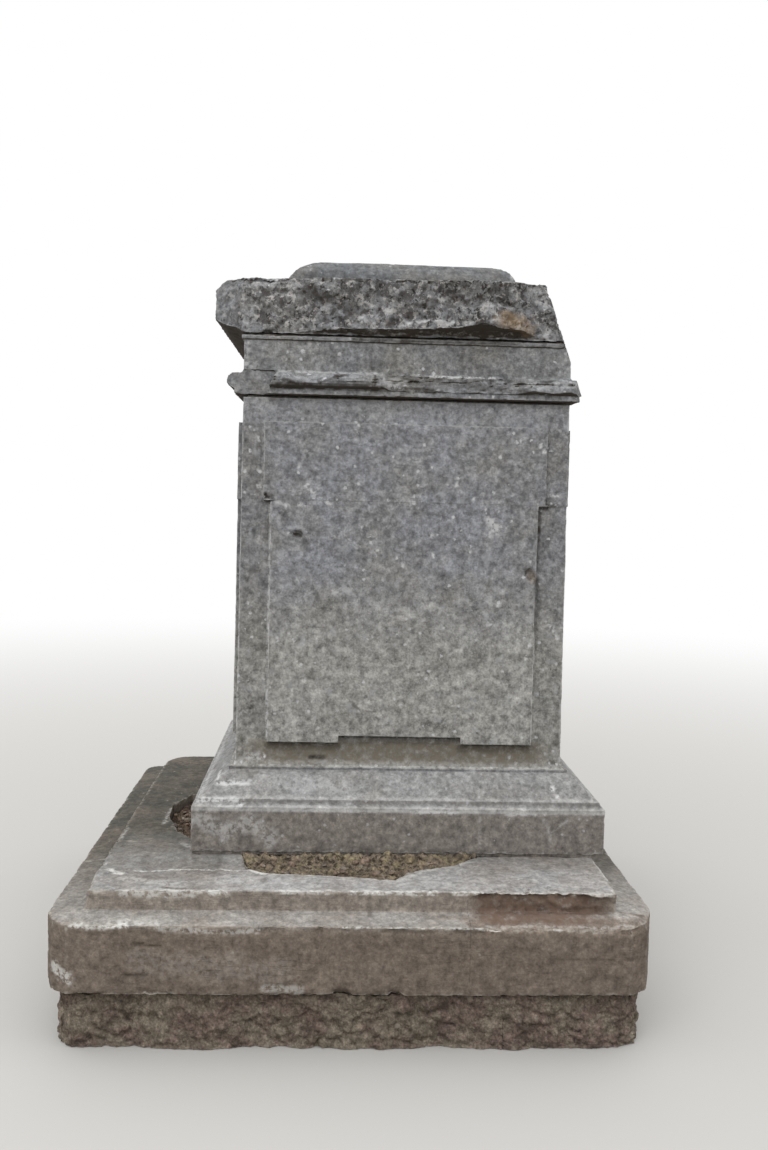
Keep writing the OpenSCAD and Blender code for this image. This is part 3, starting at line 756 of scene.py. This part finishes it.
# Where the bead's lumpy left end stops, where its shell-shaped break lies and where it is knocked off.
LEFT_END, SHELL_LEFT, SHELL_RIGHT, KNOCKED = -362, -338, -172, -87
NECK_GRIME_AND_SHADE = [
    # Streaks and a black spot on the frieze, and the shadow under the cornice.
    ([(-103, 1392), (-103, 1315)], 6, 0.6), ([(149, 1392), (149, 1322)], 9, 0.45),
    ([(-329, 1343)], 7, 1), ([(-150, 1399), (40, 1399)], 9, 0.9), ([(40, 1399), (300, 1399)], 8, 0.5),
    # Painted shade under the bead and along the rim of its shell-shaped break.
    ([(-370, 1268), (-320, 1264), (-215, 1272), (-90, 1264)], 9, 0.7), ([(-92, 1302), (-92, 1266)], 5, 0.9),
    ([(-40, 1268), (70, 1264)], 8, 0.9), ([(-322, 1270), (-240, 1267), (-190, 1268)], 9, 0.6),
    ([(-198, 1297), (-170, 1303)], 8, 0.7), ([(-242, 1277), (-225, 1282), (-205, 1292), (-180, 1299)], 6, 1),
    ([(-338, 1281), (-300, 1273), (-262, 1269)], 8, 1), ([(-210, 1275), (-110, 1276)], 12, 0.4),
    # On the knocked length.
    ([(10, 1288), (130, 1280), (250, 1276)], 17, 0.45), ([(225, 1310), (222, 1266)], 6, 0.7),
    ([(250, 1270), (320, 1266)], 9, 0.7)]
NECK_CRUSTS_AND_HIGHLIGHTS = [
    # Painted highlights on the upward facet of the shell-shaped break and along the top of the bead and of
    # the knocked length, with pale crusts.
    ([(-298, 1296), (-228, 1299)], 10, 0.2), ([(-440, 1380), (-445, 1330)], 10, 0.5),
    ([(330, 1290), (460, 1288)], 14, 0.35), ([(60, 1305), (240, 1306)], 4, 0.8),
    ([(-160, 1288), (-110, 1288)], 14, 0.15), ([(-345, 1309), (-90, 1309)], 5, 0.35),
    ([(-75, 1295), (-30, 1275)], 14, 0.35)]
NECK_DAMP = [([(-70, 1370), (190, 1352)], 90, 0.28)]


def bead_stands(x, z, slow, quick):
    """How far the front of the neck bead still stands out of the frieze, where it is broken."""
    left = np.full(len(x), 99.0)
    # The knocked and lumpy left end.
    left = np.where(x < LEFT_END, 40 + 4 * slow, left)
    # A shell-shaped break that looks up.
    rim = np.interp(x, (SHELL_LEFT, -316, -294, -246, -195, SHELL_RIGHT),
                    (1302, 1283, 1275, 1277, 1297, 1308))
    scallop = (x > SHELL_LEFT) & (x < SHELL_RIGHT) & (z > rim)
    left = np.where(scallop, 43 - 0.95 * (z - rim), left)
    # From there to the right the bead is knocked off, with a smoother and fuller right end.
    stump = np.interp(x, (KNOCKED, -70, -40, 20, 70, 130, 190, 240, 290, 330, 400, 470),
                      (44, 38, 20, 15, 24, 16, 25, 17, 22, 34, 31, 38))
    rough = (x > KNOCKED) & (z > NECK_FOOT + 14)
    return np.where(rough, stump + 6 * slow + 3 * quick + 0.15 * (1300 - z), left)


def broken_bead(at, facing):
    """Sets the front of the neck bead back to where it is broken."""
    front = (at[:, 1] < -FRIEZE_FACE - 4) & (at[:, 2] > NECK_FOOT + 7) & (at[:, 2] < BEAD_HEAD)
    flat = at[front] * (1, 0, 1.3)
    stands = bead_stands(at[front, 0], at[front, 2], uneven(flat, 45, 61, 2), uneven(flat, 14, 63, 2))
    at[front, 1] = np.maximum(at[front, 1], -FRIEZE_FACE - np.maximum(stands, 3))
    return at


def torn_neck(at, facing):
    """Rough on the knocked bead, at the left end and on the break at the right of the frieze."""
    bead = (at[:, 1] < -FRIEZE_FACE - 2) & (at[:, 2] > NECK_FOOT + 19) & (at[:, 2] < NECK_FOOT + 63)
    left_end = (at[:, 1] < -440) & (at[:, 0] < LEFT_END) & (at[:, 2] < BEAD_HEAD)
    right = (facing[:, 0] > 0.5) & (at[:, 1] < -150) & (at[:, 0] < FRIEZE_FACE - 4)
    right &= at[:, 2] > BEAD_HEAD + 8
    knocked = rising(at[:, 0], KNOCKED - 5, KNOCKED + 7) * (1 - 0.8 * rising(at[:, 0], 290, 330))
    return bead * knocked * 0.3 + left_end * 0.35 + right * 0.9


def unbroken(spots):
    """The knocked length of the bead has no arris left to wear."""
    front = (spots[:, 1] < -FRIEZE_FACE - 10) & (spots[:, 0] > KNOCKED - 5)
    return 1 - 0.9 * (front & (np.abs(spots[:, 2] - (NECK_FOOT + 41)) < 25))


def neck_and_frieze():
    """The neck with its broken bead, and the plain frieze, in one stone."""
    worn_stone("neck_frieze", "neck_and_frieze_stone", (4.6, 9, 4), 4, LIMESTONE, "limestone",
               (*all_round(FRIEZE_FACE), ()), chip=(0.8, 2), wave=1.4, pit=0.8, reshape=broken_bead,
               soften=unbroken, own={"torn": torn_neck},
               marks=[("grime_and_shade", FRONT, NECK_GRIME_AND_SHADE), ("crust_and_highlight", FRONT, NECK_CRUSTS_AND_HIGHLIGHTS),
                      ("dark_patch", FRONT, NECK_DAMP)])


CORNICE_FOOT = round(box_of("cornice")[0][2])
SHELF = CORNICE_FOOT + 123
CORNICE_HOLLOWS = [
    (FRONT, [(-440, 1529), (-310, 1528)], 8, 4), (FRONT, [(-280, 1520), (-140, 1480)], 26, 8),
    (FRONT, [(90, 1530), (240, 1535), (390, 1515)], 22, 9), (FRONT, [(110, 1500), (180, 1510)], 16, 10),
    (FRONT, [(-390, 1412), (-362, 1422)], 10, 9), (FRONT, [(-41, 1450)], 12, 9),
    (FRONT, [(39, 1492)], 12, 10), (FRONT, [(320, 1500)], 14, 10), (FRONT, [(440, 1480)], 12, 7),
    (FRONT, [(-215, 1466), (-190, 1440)], 14, 8), (FRONT, [(230, 1512), (290, 1500)], 10, 12)]
CORNICE_GRIME_AND_SHADE = [
    # Mostly painted shade in and around the hollows of the break.
    ([(-450, 1529), (-300, 1528)], 8, 0.4), ([(-280, 1520), (-200, 1500), (-140, 1475)], 34, 0.6),
    ([(90, 1532), (240, 1536)], 18, 0.4), ([(-480, 1500), (-400, 1470)], 30, 0.35),
    ([(110, 1500), (180, 1512)], 20, 0.6), ([(310, 1528), (350, 1518)], 12, 0.6),
    ([(-390, 1412), (-362, 1422)], 12, 0.9), ([(-41, 1450), (-60, 1440)], 12, 0.9),
    ([(39, 1492)], 12, 0.9), ([(-20, 1480), (60, 1500)], 26, 0.5), ([(300, 1490), (330, 1500)], 16, 0.5),
    ([(180, 1448), (238, 1440), (280, 1432)], 10, 0.7), ([(230, 1512), (290, 1500)], 13, 0.6)]
CORNICE_CRUSTS = [
    ([(-28, 1437), (52, 1456), (120, 1449)], 7, 0.7), ([(205, 1498), (232, 1462)], 20, 0.4),
    ([(340, 1545), (430, 1515), (455, 1470)], 30, 0.42),
    ([(-130, 1452), (-100, 1432)], 18, 0.4), ([(-500, 1548), (-300, 1548)], 10, 0.2),
    ([(390, 1440), (350, 1412)], 12, 0.4), ([(-430, 1500), (-440, 1440)], 16, 0.3)]
# The bare ochre rock at the lower right of the break.
CORNICE_OCHRE = [([(255, 1462), (325, 1442)], 30, 0.5)]
CORNICE_DAMP = [([(-500, 1500), (-300, 1500)], 80, 0.3)]


def torn_cornice(at, facing):
    """Rough where the cornice is broken: in front, at the right, on its shelf and at the left end."""
    front = rising(-facing[:, 1], 0.3, 0.6) * (at[:, 1] < 15 - FRIEZE_FACE)
    right = rising(facing[:, 0], 0.35, 0.6) * (at[:, 0] < 522) * (facing[:, 2] > -0.3) * (at[:, 1] < 250)
    shelf_top = (at[:, 1] < -425) * (at[:, 2] > SHELF - 3) * (at[:, 0] < -270) * 0.8
    left_end = rising(-at[:, 0], 455, 480) * rising(-at[:, 1], 330, 400) * (facing[:, 2] > -0.35) * 0.6
    rough = np.maximum(np.maximum(front, right), np.maximum(shelf_top, left_end))
    return rough * (0.55 + 0.45 * rising(at[:, 2], CORNICE_FOOT + 6, CORNICE_FOOT + 30))


def worn_shelf(at, facing):
    """A worn shelf along the top left, which falls back from the face."""
    length = rising(at[:, 0], -520, -480) * rising(-at[:, 0], 270, 320)
    above = np.clip(at[:, 2] - SHELF, 0, 24)
    at[:, 1] += rising(-at[:, 1], 360, 440) * length * above * (0.9 + 0.5 * uneven(at, 70, 57, 2))
    return at


def sharper_foot(spots):
    """The sheltered lower arrises of the cornice are worn less."""
    return 0.4 + 0.6 * rising(spots[:, 2], CORNICE_FOOT + 42, CORNICE_FOOT + 65)


def cornice_stone():
    """The cornice, broken back to a hackly face along its front and at the right."""
    low, high = box_of("cornice")
    worn_stone("cornice", "cornice_stone", (4.6, 8, 4.4), 5, LIMESTONE, "limestone",
               ((low[0], high[0]), (high[1],), ()), chip=(1.6, 3.6), wave=2, pit=1.5, reshape=worn_shelf,
               own={"torn": torn_cornice}, soften=sharper_foot, hollows=CORNICE_HOLLOWS,
               marks=[("grime_and_shade", FRONT, CORNICE_GRIME_AND_SHADE), ("crust_and_highlight", FRONT, CORNICE_CRUSTS),
                      ("ochre", FRONT, CORNICE_OCHRE), ("dark_patch", FRONT, CORNICE_DAMP)])


def spread_foot(at, facing):
    """The front left of the top block slopes out to a thin foot."""
    foot = round(box_of("top_block")[0][2])
    reach = 30 * (1 - rising(at[:, 2], foot, foot + 57)) * rising(-at[:, 1], 0, 200)
    at[:, 0] -= reach * (at[:, 0] < -250) * rising(-at[:, 0], 250, 290)
    return at


def top_stone():
    """The low cushion block that the shaft stood on."""
    worn_stone("top_block", "top_cushion_stone", (7, 8, 5), 6, WASHED, "limestone_pale",
               beds=lower_bed, chip=(1.5, 4), wave=3, pit=1.2, reshape=spread_foot)


# The plinth.

KERB_FOOT = round(box_of("kerb_front")[0][2])


def kerb_arrises(spots):
    """Sharp at the joints; rounder at the corners and along the outer arris right of the joint."""
    joint = rising(np.abs(spots[:, 0] - JOINT_X), 2, 14)
    outer = rising(spots[:, 0], 190, 260) * rising(-spots[:, 1], 780, 905) * (spots[:, 2] > LEDGE - 15)
    ends = rising(spots[:, 0], 480, 570) + 1.6 * rising(-spots[:, 0], 690, 790)
    step = (spots[:, 2] > LEDGE + 20) * rising(-spots[:, 1], 720, 830) * ends
    upright = (spots[:, 2] < LEDGE - 18) & (spots[:, 2] > KERB_FOOT + 7)
    return (0.25 + 0.75 * joint) * (1 + 3.5 * outer + 1.8 * step) * np.where(upright, 0.4, 1)


KERB_HOLLOWS = [
    # A shallow dish beside the left end of the pocket.
    (TOP, [(-640, -655), (-560, -640), (-440, -640)], 62, 9),
    (TOP, [(-790, -640), (-740, -690)], 26, 3), (FRONT, [(-656, -106), (-589, -113)], 5, 4),
    (FRONT, [(-677, -185), (-622, -185)], 5, 4), (FRONT, [(-640, -225), (-560, -229)], 6, 5),
    (FRONT, [(-165, -228), (-140, -230)], 12, 10), (FRONT, [(-30, -229), (-15, -231)], 12, 9)]
KERB_CRUSTS = [
    # Along the rims of the dish and of the pocket, at the left corner and by the upper arris.
    (TOP, [([(-468, -660), (-404, -680), (-362, -712)], 9, 1), ([(-599, -664), (-468, -660)], 8, 1),
           ([(-686, -690), (-599, -664)], 7, 0.8), ([(-362, -712), (-335, -704)], 11, 1),
           ([(-364, -716), (-315, -708), (-119, -726), (-20, -760), (69, -676), (189, -601)], 8, 0.5),
           ([(-794, -668), (-780, -637)], 12, 0.9), ([(-755, -683), (-722, -720)], 13, 0.9),
           ([(-700, -760), (-560, -800)], 22, 0.35), ([(-600, -470), (-560, -520)], 14, 0.4),
           ([(-775, -434), (-778, -322)], 5, 0.4), ([(-677, -290), (-679, -130)], 8, 0.5),
           ([(536, -593), (526, -827)], 5, 0.7),
           ([(-590, -833), (-440, -835)], 8, 0.7), ([(-315, -833), (-179, -833)], 8, 0.9),
           ([(-130, -832), (74, -832)], 10, 1), ([(120, -834), (190, -834)], 7, 0.9),
           ([(220, -835), (520, -835)], 5, 0.6), ([(560, -830), (585, -840)], 10, 0.9)]),
    (STEP, [([(200, -893), (420, -895), (560, -893)], 8, 0.35)]),
    # Below the upper arris and along the outer one.
    (FRONT, [([(-700, -5), (-640, -12), (-520, -8)], 12, 0.7), ([(-480, -4), (-440, -10)], 10, 0.9),
             ([(-130, -3), (60, -5)], 6, 0.8),
             ([(-803, -64), (-745, -66)], 7, 1), ([(-735, -66), (-672, -62)], 8, 1),
             ([(-654, -59), (-599, -59)], 4, 0.5), ([(-599, -66), (-480, -76), (-361, -72)], 9, 0.5),
             ([(-160, -63), (228, -64)], 4, 0.9), ([(-340, -214), (-253, -217)], 12, 0.4),
             ([(-846, -175), (-810, -190)], 20, 0.8), ([(352, -63), (400, -64)], 4, 0.6),
             ([(568, 0), (595, -26)], 10, 0.9), ([(-640, -150), (-300, -170)], 40, 0.12)])]
KERB_GRIME_AND_SHADE = [
    # Painted shade in the dish, in the hollows, under the arrises and along the foot, and a painted shadow
    # along the front rim of the earth, with dark spots and streaks.
    (TOP, [([(-660, -625), (-560, -615), (-440, -622)], 34, 0.12), ([(-191, -690), (-76, -695)], 8, 0.8),
           ([(-600, -815), (-540, -825)], 6, 0.8), ([(-470, -830)], 8, 0.9), ([(66, -820)], 7, 1),
           ([(222, -822)], 6, 0.9), ([(276, -822)], 6, 0.7)]),
    (FRONT, [([(-656, -106), (-589, -113)], 5, 1), ([(-677, -185), (-622, -185)], 5, 1),
             ([(-90, -4), (-86, -48)], 8, 0.5), ([(-60, -6), (-58, -40)], 5, 0.5),
             ([(-165, -228), (-15, -230)], 8, 0.8), ([(-850, -231), (500, -231)], 5, 0.6),
             ([(353, -139), (575, -139)], 4, 0.6), ([(-60, -72), (60, -72)], 6, 0.6),
             ([(120, -68), (190, -70)], 6, 0.8), ([(595, -60), (600, -120)], 12, 0.4)])]
KERB_BEIGE = [
    # The beige and pinkish lip in front of the brown hollow, and a bare patch left of the joint.
    (STEP, [([(168, -890), (590, -892)], 44, 0.85), ([(74, -864), (146, -862)], 10, 0.3)]),
    (FRONT, [([(170, -66), (610, -68)], 20, 0.7)])]
KERB_MARKS = [(name, view, marks) for name, places in (
    ("crust_and_highlight", KERB_CRUSTS), ("grime_and_shade", KERB_GRIME_AND_SHADE), ("dust_and_painted_light", KERB_BEIGE)) for view, marks in places]


def brown_hollow(at):
    """Share of the hollow that has opened in the riser of the right stone, from its joint on."""
    ends = rising(at[:, 0], JOINT_X, JOINT_X + 42) * (1 - rising(at[:, 0], 480, 535))
    ceiling = np.interp(at[:, 0], (JOINT_X, 200, 300, 420, 530), (-12, 1, 6, 4, -14))
    ceiling += 9 * uneven(at * (1, 0, 0), 30, 75, 4)
    height = rising(at[:, 2], LEDGE - 6, LEDGE + 6) * (1 - rising(at[:, 2] - ceiling, -9, 0))
    return ends * height * (at[:, 1] < RISER + 48) * (at[:, 1] > RISER - 8)


def brown_rock(at, facing):
    """Where the fresh brown stone shows: in the hollow and on the back of the ledge in front of it."""
    ragged = at[:, 0] + 22 * uneven(at, 35, 79, 3)
    length = rising(ragged, JOINT_X + 8, JOINT_X + 40) * (1 - rising(ragged, 440, 520))
    ledge = (at[:, 2] < LEDGE + 14) * (at[:, 2] > LEDGE - 12)
    back = rising(at[:, 1] + 12 * uneven(at, 30, 77, 3), -892, -874) * (at[:, 1] < RISER + 8)
    return 0.85 * np.maximum(brown_hollow(at) * (at[:, 2] < -1), length * ledge * back)


def kerb_shape(at, facing):
    """The brown hollow, the worn lip in front of it and the closed joint at the front."""
    swing = uneven(at, 40, 71, 4)
    at[:, 1] += brown_hollow(at) * rising(-at[:, 1], -RISER - 46, -RISER) * (13 + 8 * swing)
    lip = rising(at[:, 0], JOINT_X, JOINT_X + 60) * (1 - rising(at[:, 0], 540, 600))
    lip *= rising(-at[:, 1], -RISER, -RISER + 24) * rising(at[:, 2], LEDGE - 20, LEDGE)
    lip *= at[:, 2] < LEDGE + 10
    at[:, 2] -= lip * np.maximum(0, 4 + 6 * swing)
    at[np.abs(at[:, 0] - (JOINT_X - 1)) < 0.3, 0] += 0.85
    return at


def darker_tops(at, facing):
    """Darker on the tops beside and behind the pedestal."""
    start = np.where(at[:, 0] < -480, -945, -760)
    return rising(at[:, 1], start, -330) * rising(facing[:, 2], 0.2, 0.7)


def kerb_torn(at, facing):
    """Rough in the brown hollow, and along the outer arris left of the joint."""
    arris = (np.abs(at[:, 2] - LEDGE) < 14) * (at[:, 1] < -890)
    return 0.6 * brown_hollow(at) + 0.3 * rising(at[:, 0], -420, -380) * (at[:, 0] < JOINT_X) * arris


def kerb(node, steps):
    """One of the four stones of the plinth. They share one list of damage, by its place."""
    low, high = box_of(node)
    close_to = ((low[0], high[0]), (low[1], high[1], RISER), (high[2], LEDGE))
    worn_stone(node, node + "_stone", steps, 7, KERB_STONE, "kerb_stone", close_to, lower_bed,
               chip=(1.8, 4.5), wave=2.5, pit=1.2, soften=kerb_arrises, reshape=kerb_shape,
               tight=[(0, JOINT_X), (0, JOINT_X - 1)], hollows=KERB_HOLLOWS, marks=KERB_MARKS,
               own={"torn": kerb_torn, "dark_patch": darker_tops, "ochre": brown_rock})


def rubble_crevices(at, seed):
    """Depth of the gaps that run aslant between some of the stones in the rubble."""
    slanted = np.stack([at[:, 0] + 0.9 * at[:, 2], at[:, 1], at[:, 2] * 1.5], axis=1)
    slanted += 14 * uneven(at, 50, seed + 1, 3)[:, None]
    gaps = (noise.voronoi(place)[0] for place in (slanted / 88 + seed).tolist())
    crevice = np.array([max(0.0, 1 - (second - first) / 0.2) for first, second, *_ in gaps])
    return 12 * crevice ** 1.4 * rising(uneven(at, 120, seed + 3, 2), -0.25, 0.1)


def rubble_footing():
    """The rough footing under the plinth, with gaps between its stones."""
    low, high = box_of("footing")
    piece = stone_from("footing", "rubble_footing")
    cut_grid(piece, cuts(low[0], high[0], 6), cuts(low[1], high[1], 8), cuts(low[2], high[2], 5.5), both_beds)
    at, facing = points_of(piece.data), facing_of(piece.data)
    top = at[:, 2] > high[2] - 0.5
    facing[:, 2] = 0
    lumps = 9 * uneven(at, 48, 83, 4, harsh=0.7)
    loss = 5 + rubble_crevices(at, 3) + lumps + 4 * np.abs(uneven(at, 14, 85, 3))
    at -= facing * np.maximum(loss, 0)[:, None]
    at[top, 2] += 6.5 * rising(uneven(at[top], 60, 87, 3), -0.2, 0.3)
    set_points(piece.data, at)
    finish(piece, "footing", RUBBLE, smooth=50)


def earth_fill(node, name, seed):
    """Crumbly earth that has gathered in a pocket of the plinth."""
    low, high = box_of(node)
    piece = stone_from(node, name)
    cut_grid(piece, cuts(low[0], high[0], 5), cuts(low[1], high[1], 5), (), lower_bed)
    at, facing = points_of(piece.data), facing_of(piece.data)
    top = at[:, 2] > high[2] - 0.5
    swells, lumps = 5 * uneven(at[top], 70, seed, 3), 14 * np.abs(uneven(at[top], 30, seed + 2, 3))
    at[top, 2] += swells + lumps + 4 * np.abs(uneven(at[top], 10, seed + 4, 2)) - 6
    at[top, 2] = np.minimum(at[top, 2], high[2] + 8)
    # Crumbs are heaped against the foot of the base.
    foot = top & (at[:, 1] < -BASE_FACE - 1)
    heap = 1 - rising(-at[foot, 1], BASE_FACE + 10, BASE_FACE + 34)
    at[foot, 2] += heap * (13 + 4 * rising(uneven(at[foot], 45, seed + 6, 3), -0.2, 0.25))
    set_points(piece.data, at)
    finish(piece, node, EARTH, smooth=60)
    return piece


def pebbles(grounds, count=95):
    """Small broken stones on the earth, cast from one model and strewn at seeded places."""
    chooser = random.Random(11)
    bpy.ops.object.select_all(action="DESELECT")
    bpy.ops.mesh.primitive_ico_sphere_add(subdivisions=2, radius=1)
    model = bpy.context.object
    round_form = np.array([v.co for v in model.data.vertices])
    bpy.context.view_layer.update()
    made = []
    while len(made) < count:
        ground, low, high = chooser.choice(grounds)
        x, y = chooser.uniform(low[0], high[0]), chooser.uniform(low[1], high[1])
        radius = chooser.uniform(4, 9) if chooser.random() < 0.85 else chooser.uniform(9, 15)
        spins = [chooser.uniform(0, math.tau) for _ in range(3)]
        flat = [chooser.uniform(0.6, 1.2), chooser.uniform(0.6, 1.1), chooser.uniform(0.35, 0.75)]
        hits = [ground.ray_cast(Vector(AXIS) + Vector((x + dx, y + dy, 60)) * MM, (0, 0, -1))
                for dx, dy in ((0, 0), (radius, 0), (-radius, 0), (0, radius), (0, -radius))]
        if not all(hit[0] and hit[2].z > 0.3 for hit in hits):
            continue
        rest = (hits[0][1].z - AXIS[2]) / MM
        form = round_form * (1 + 0.22 * uneven(round_form * 9, 12, len(made) + 1, 2))[:, None]
        turn = np.array(Matrix.Rotation(spins[2], 3, "Z") @ Matrix.Rotation(spins[0] * 0.05, 3, "X"))
        form = (form * flat * radius) @ turn.T + (x, y, rest + radius * flat[2] * 0.35)
        piece = bpy.data.objects.new("pebble", model.data.copy())
        bpy.context.scene.collection.objects.link(piece)
        set_points(piece.data, form)
        made.append(piece)
    bpy.data.objects.remove(model)
    bpy.ops.object.select_all(action="DESELECT")
    for piece in made:
        piece.select_set(True)
    bpy.context.view_layer.objects.active = made[0]
    bpy.ops.object.join()
    made[0].name = "pebbles_on_the_earth"
    finish(made[0], None, PEBBLES, smooth=30)


def carried_over():
    """The CAD nodes that stay: mortar beds, and the core that no one sees."""
    for node, material in [("plinth_core", RUBBLE)] + [(bed, MORTAR) for bed in (
            "kerb_bed", "neck_joint", "cornice_joint", "top_joint")]:
        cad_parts[node].data.materials.clear()
        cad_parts[node].data.materials.append(material)


base_stone()
die_stones()
joint_filling("base_bed", "pedestal_base", 3, MORTAR)
joint_filling("foot_joint", "die_lower", 0.4, POINTING)
joint_filling("die_joint", "die_upper", 0.1, POINTING)
neck_and_frieze()
cornice_stone()
top_stone()
kerb("kerb_front", (6, 6, 5.5))
kerb("kerb_right", (6, 8, 5.5))
kerb("kerb_back", (9, 9, 8))
kerb("kerb_left", (8, 9, 7))
rubble_footing()
fills = [(earth_fill(node, node + "_fill", seed), *box_of(node))
         for node, seed in (("earth_front", 91), ("earth_left", 95))]
pebbles(fills)
carried_over()


# Stage, lights and camera.

def plain_sight(tree):
    """1 for what the camera sees directly, in a mirror or through glass."""
    path = add(tree, "ShaderNodeLightPath")
    seen = add(tree, "ShaderNodeMath", {0: path.outputs["Is Camera Ray"],
               1: path.outputs["Is Glossy Ray"]}, operation="MAXIMUM").outputs[0]
    return add(tree, "ShaderNodeMath", {0: seen, 1: path.outputs["Is Transmission Ray"]},
               operation="MAXIMUM").outputs[0]


def stage():
    """A pale floor that fades to white with distance. It throws back little light."""
    bpy.ops.object.select_all(action="DESELECT")
    bpy.ops.mesh.primitive_plane_add(size=80, location=(0, 0, -0.002))
    floor = bpy.context.object
    floor.name = "floor"
    material, tree, place = new_material("pale_matte_floor")
    seen = plain_sight(tree)
    colour = cover(tree, "#7f7b74", "#b9b7b3", seen)
    shader = add(tree, "ShaderNodeBsdfPrincipled", {"Base Color": colour, "Roughness": 0.95})
    white = add(tree, "ShaderNodeEmission", {"Color": (1, 1, 1, 1), "Strength": 1.0})
    distance = add(tree, "ShaderNodeVectorMath", {0: place}, operation="LENGTH").outputs["Value"]
    far = add(tree, "ShaderNodeMapRange", {"Value": distance, "From Min": 1.6, "From Max": 9.0},
              interpolation_type="SMOOTHSTEP").outputs["Result"]
    shown = add(tree, "ShaderNodeMixShader", {0: multiplied(tree, far, seen), 1: shader.outputs[0],
                2: white.outputs[0]})
    add(tree, "ShaderNodeOutputMaterial", {"Surface": shown.outputs[0]})
    floor.data.materials.append(material)


def sky():
    """An even overcast sky, brightest overhead. The camera sees plain white."""
    world = bpy.data.worlds.new("overcast")
    bpy.context.scene.world = world
    world.use_nodes = True
    tree = world.node_tree
    tree.nodes.clear()
    upward = add(tree, "ShaderNodeTexCoord").outputs["Generated"]
    height = add(tree, "ShaderNodeSeparateXYZ", {0: upward}).outputs["Z"]
    zenith = 1.85
    strength = add(tree, "ShaderNodeMapRange", {"Value": height, "To Min": zenith / 3,
                   "To Max": zenith}).outputs["Result"]
    lit = add(tree, "ShaderNodeBackground", {"Color": linear("#f8f9fa"), "Strength": strength})
    shown = add(tree, "ShaderNodeBackground", {"Color": (1, 1, 1, 1), "Strength": 1.0})
    mixed = add(tree, "ShaderNodeMixShader", {0: plain_sight(tree), 1: lit.outputs[0], 2: shown.outputs[0]})
    add(tree, "ShaderNodeOutputWorld", {"Surface": mixed.outputs[0]})


def soft_lamp():
    """A wide lamp high in front and a little to the left, for soft modelling of the front."""
    data = bpy.data.lights.new("soft_lamp", "AREA")
    data.shape = "SQUARE"
    data.size = 3.5
    data.energy = 85
    lamp = bpy.data.objects.new("soft_lamp", data)
    bpy.context.scene.collection.objects.link(lamp)
    lamp.location = (-1.6, -4.4, 4.4)
    aim = Vector((AXIS[0], AXIS[1], 0.9)) - lamp.location
    lamp.rotation_euler = aim.to_track_quat("-Z", "Y").to_euler()


def camera():
    """The photograph's view: an eye at 1.35 m, a little left of the die's middle, 3.5 m from the axis."""
    data = bpy.data.cameras.new("camera")
    data.sensor_fit = "VERTICAL"
    data.sensor_height = 36
    focal_px, frame_h = 1102.4, 1150
    data.lens = focal_px / frame_h * data.sensor_height
    eye = bpy.data.objects.new("camera", data)
    bpy.context.scene.collection.objects.link(eye)
    yaw, pitch, roll = math.radians(2.55), math.radians(4.147), math.radians(1.37)
    eye.matrix_world = (Matrix.Translation(AXIS + (-0.189, -3.499, 0.979))
                        @ Matrix.Rotation(-yaw, 4, "Z")
                        @ Matrix.Rotation(math.pi / 2 - pitch, 4, "X")
                        @ Matrix.Rotation(roll, 4, "Z"))
    bpy.context.scene.camera = eye


stage()
sky()
soft_lamp()
camera()
bpy.context.scene.view_settings.view_transform = "Standard"
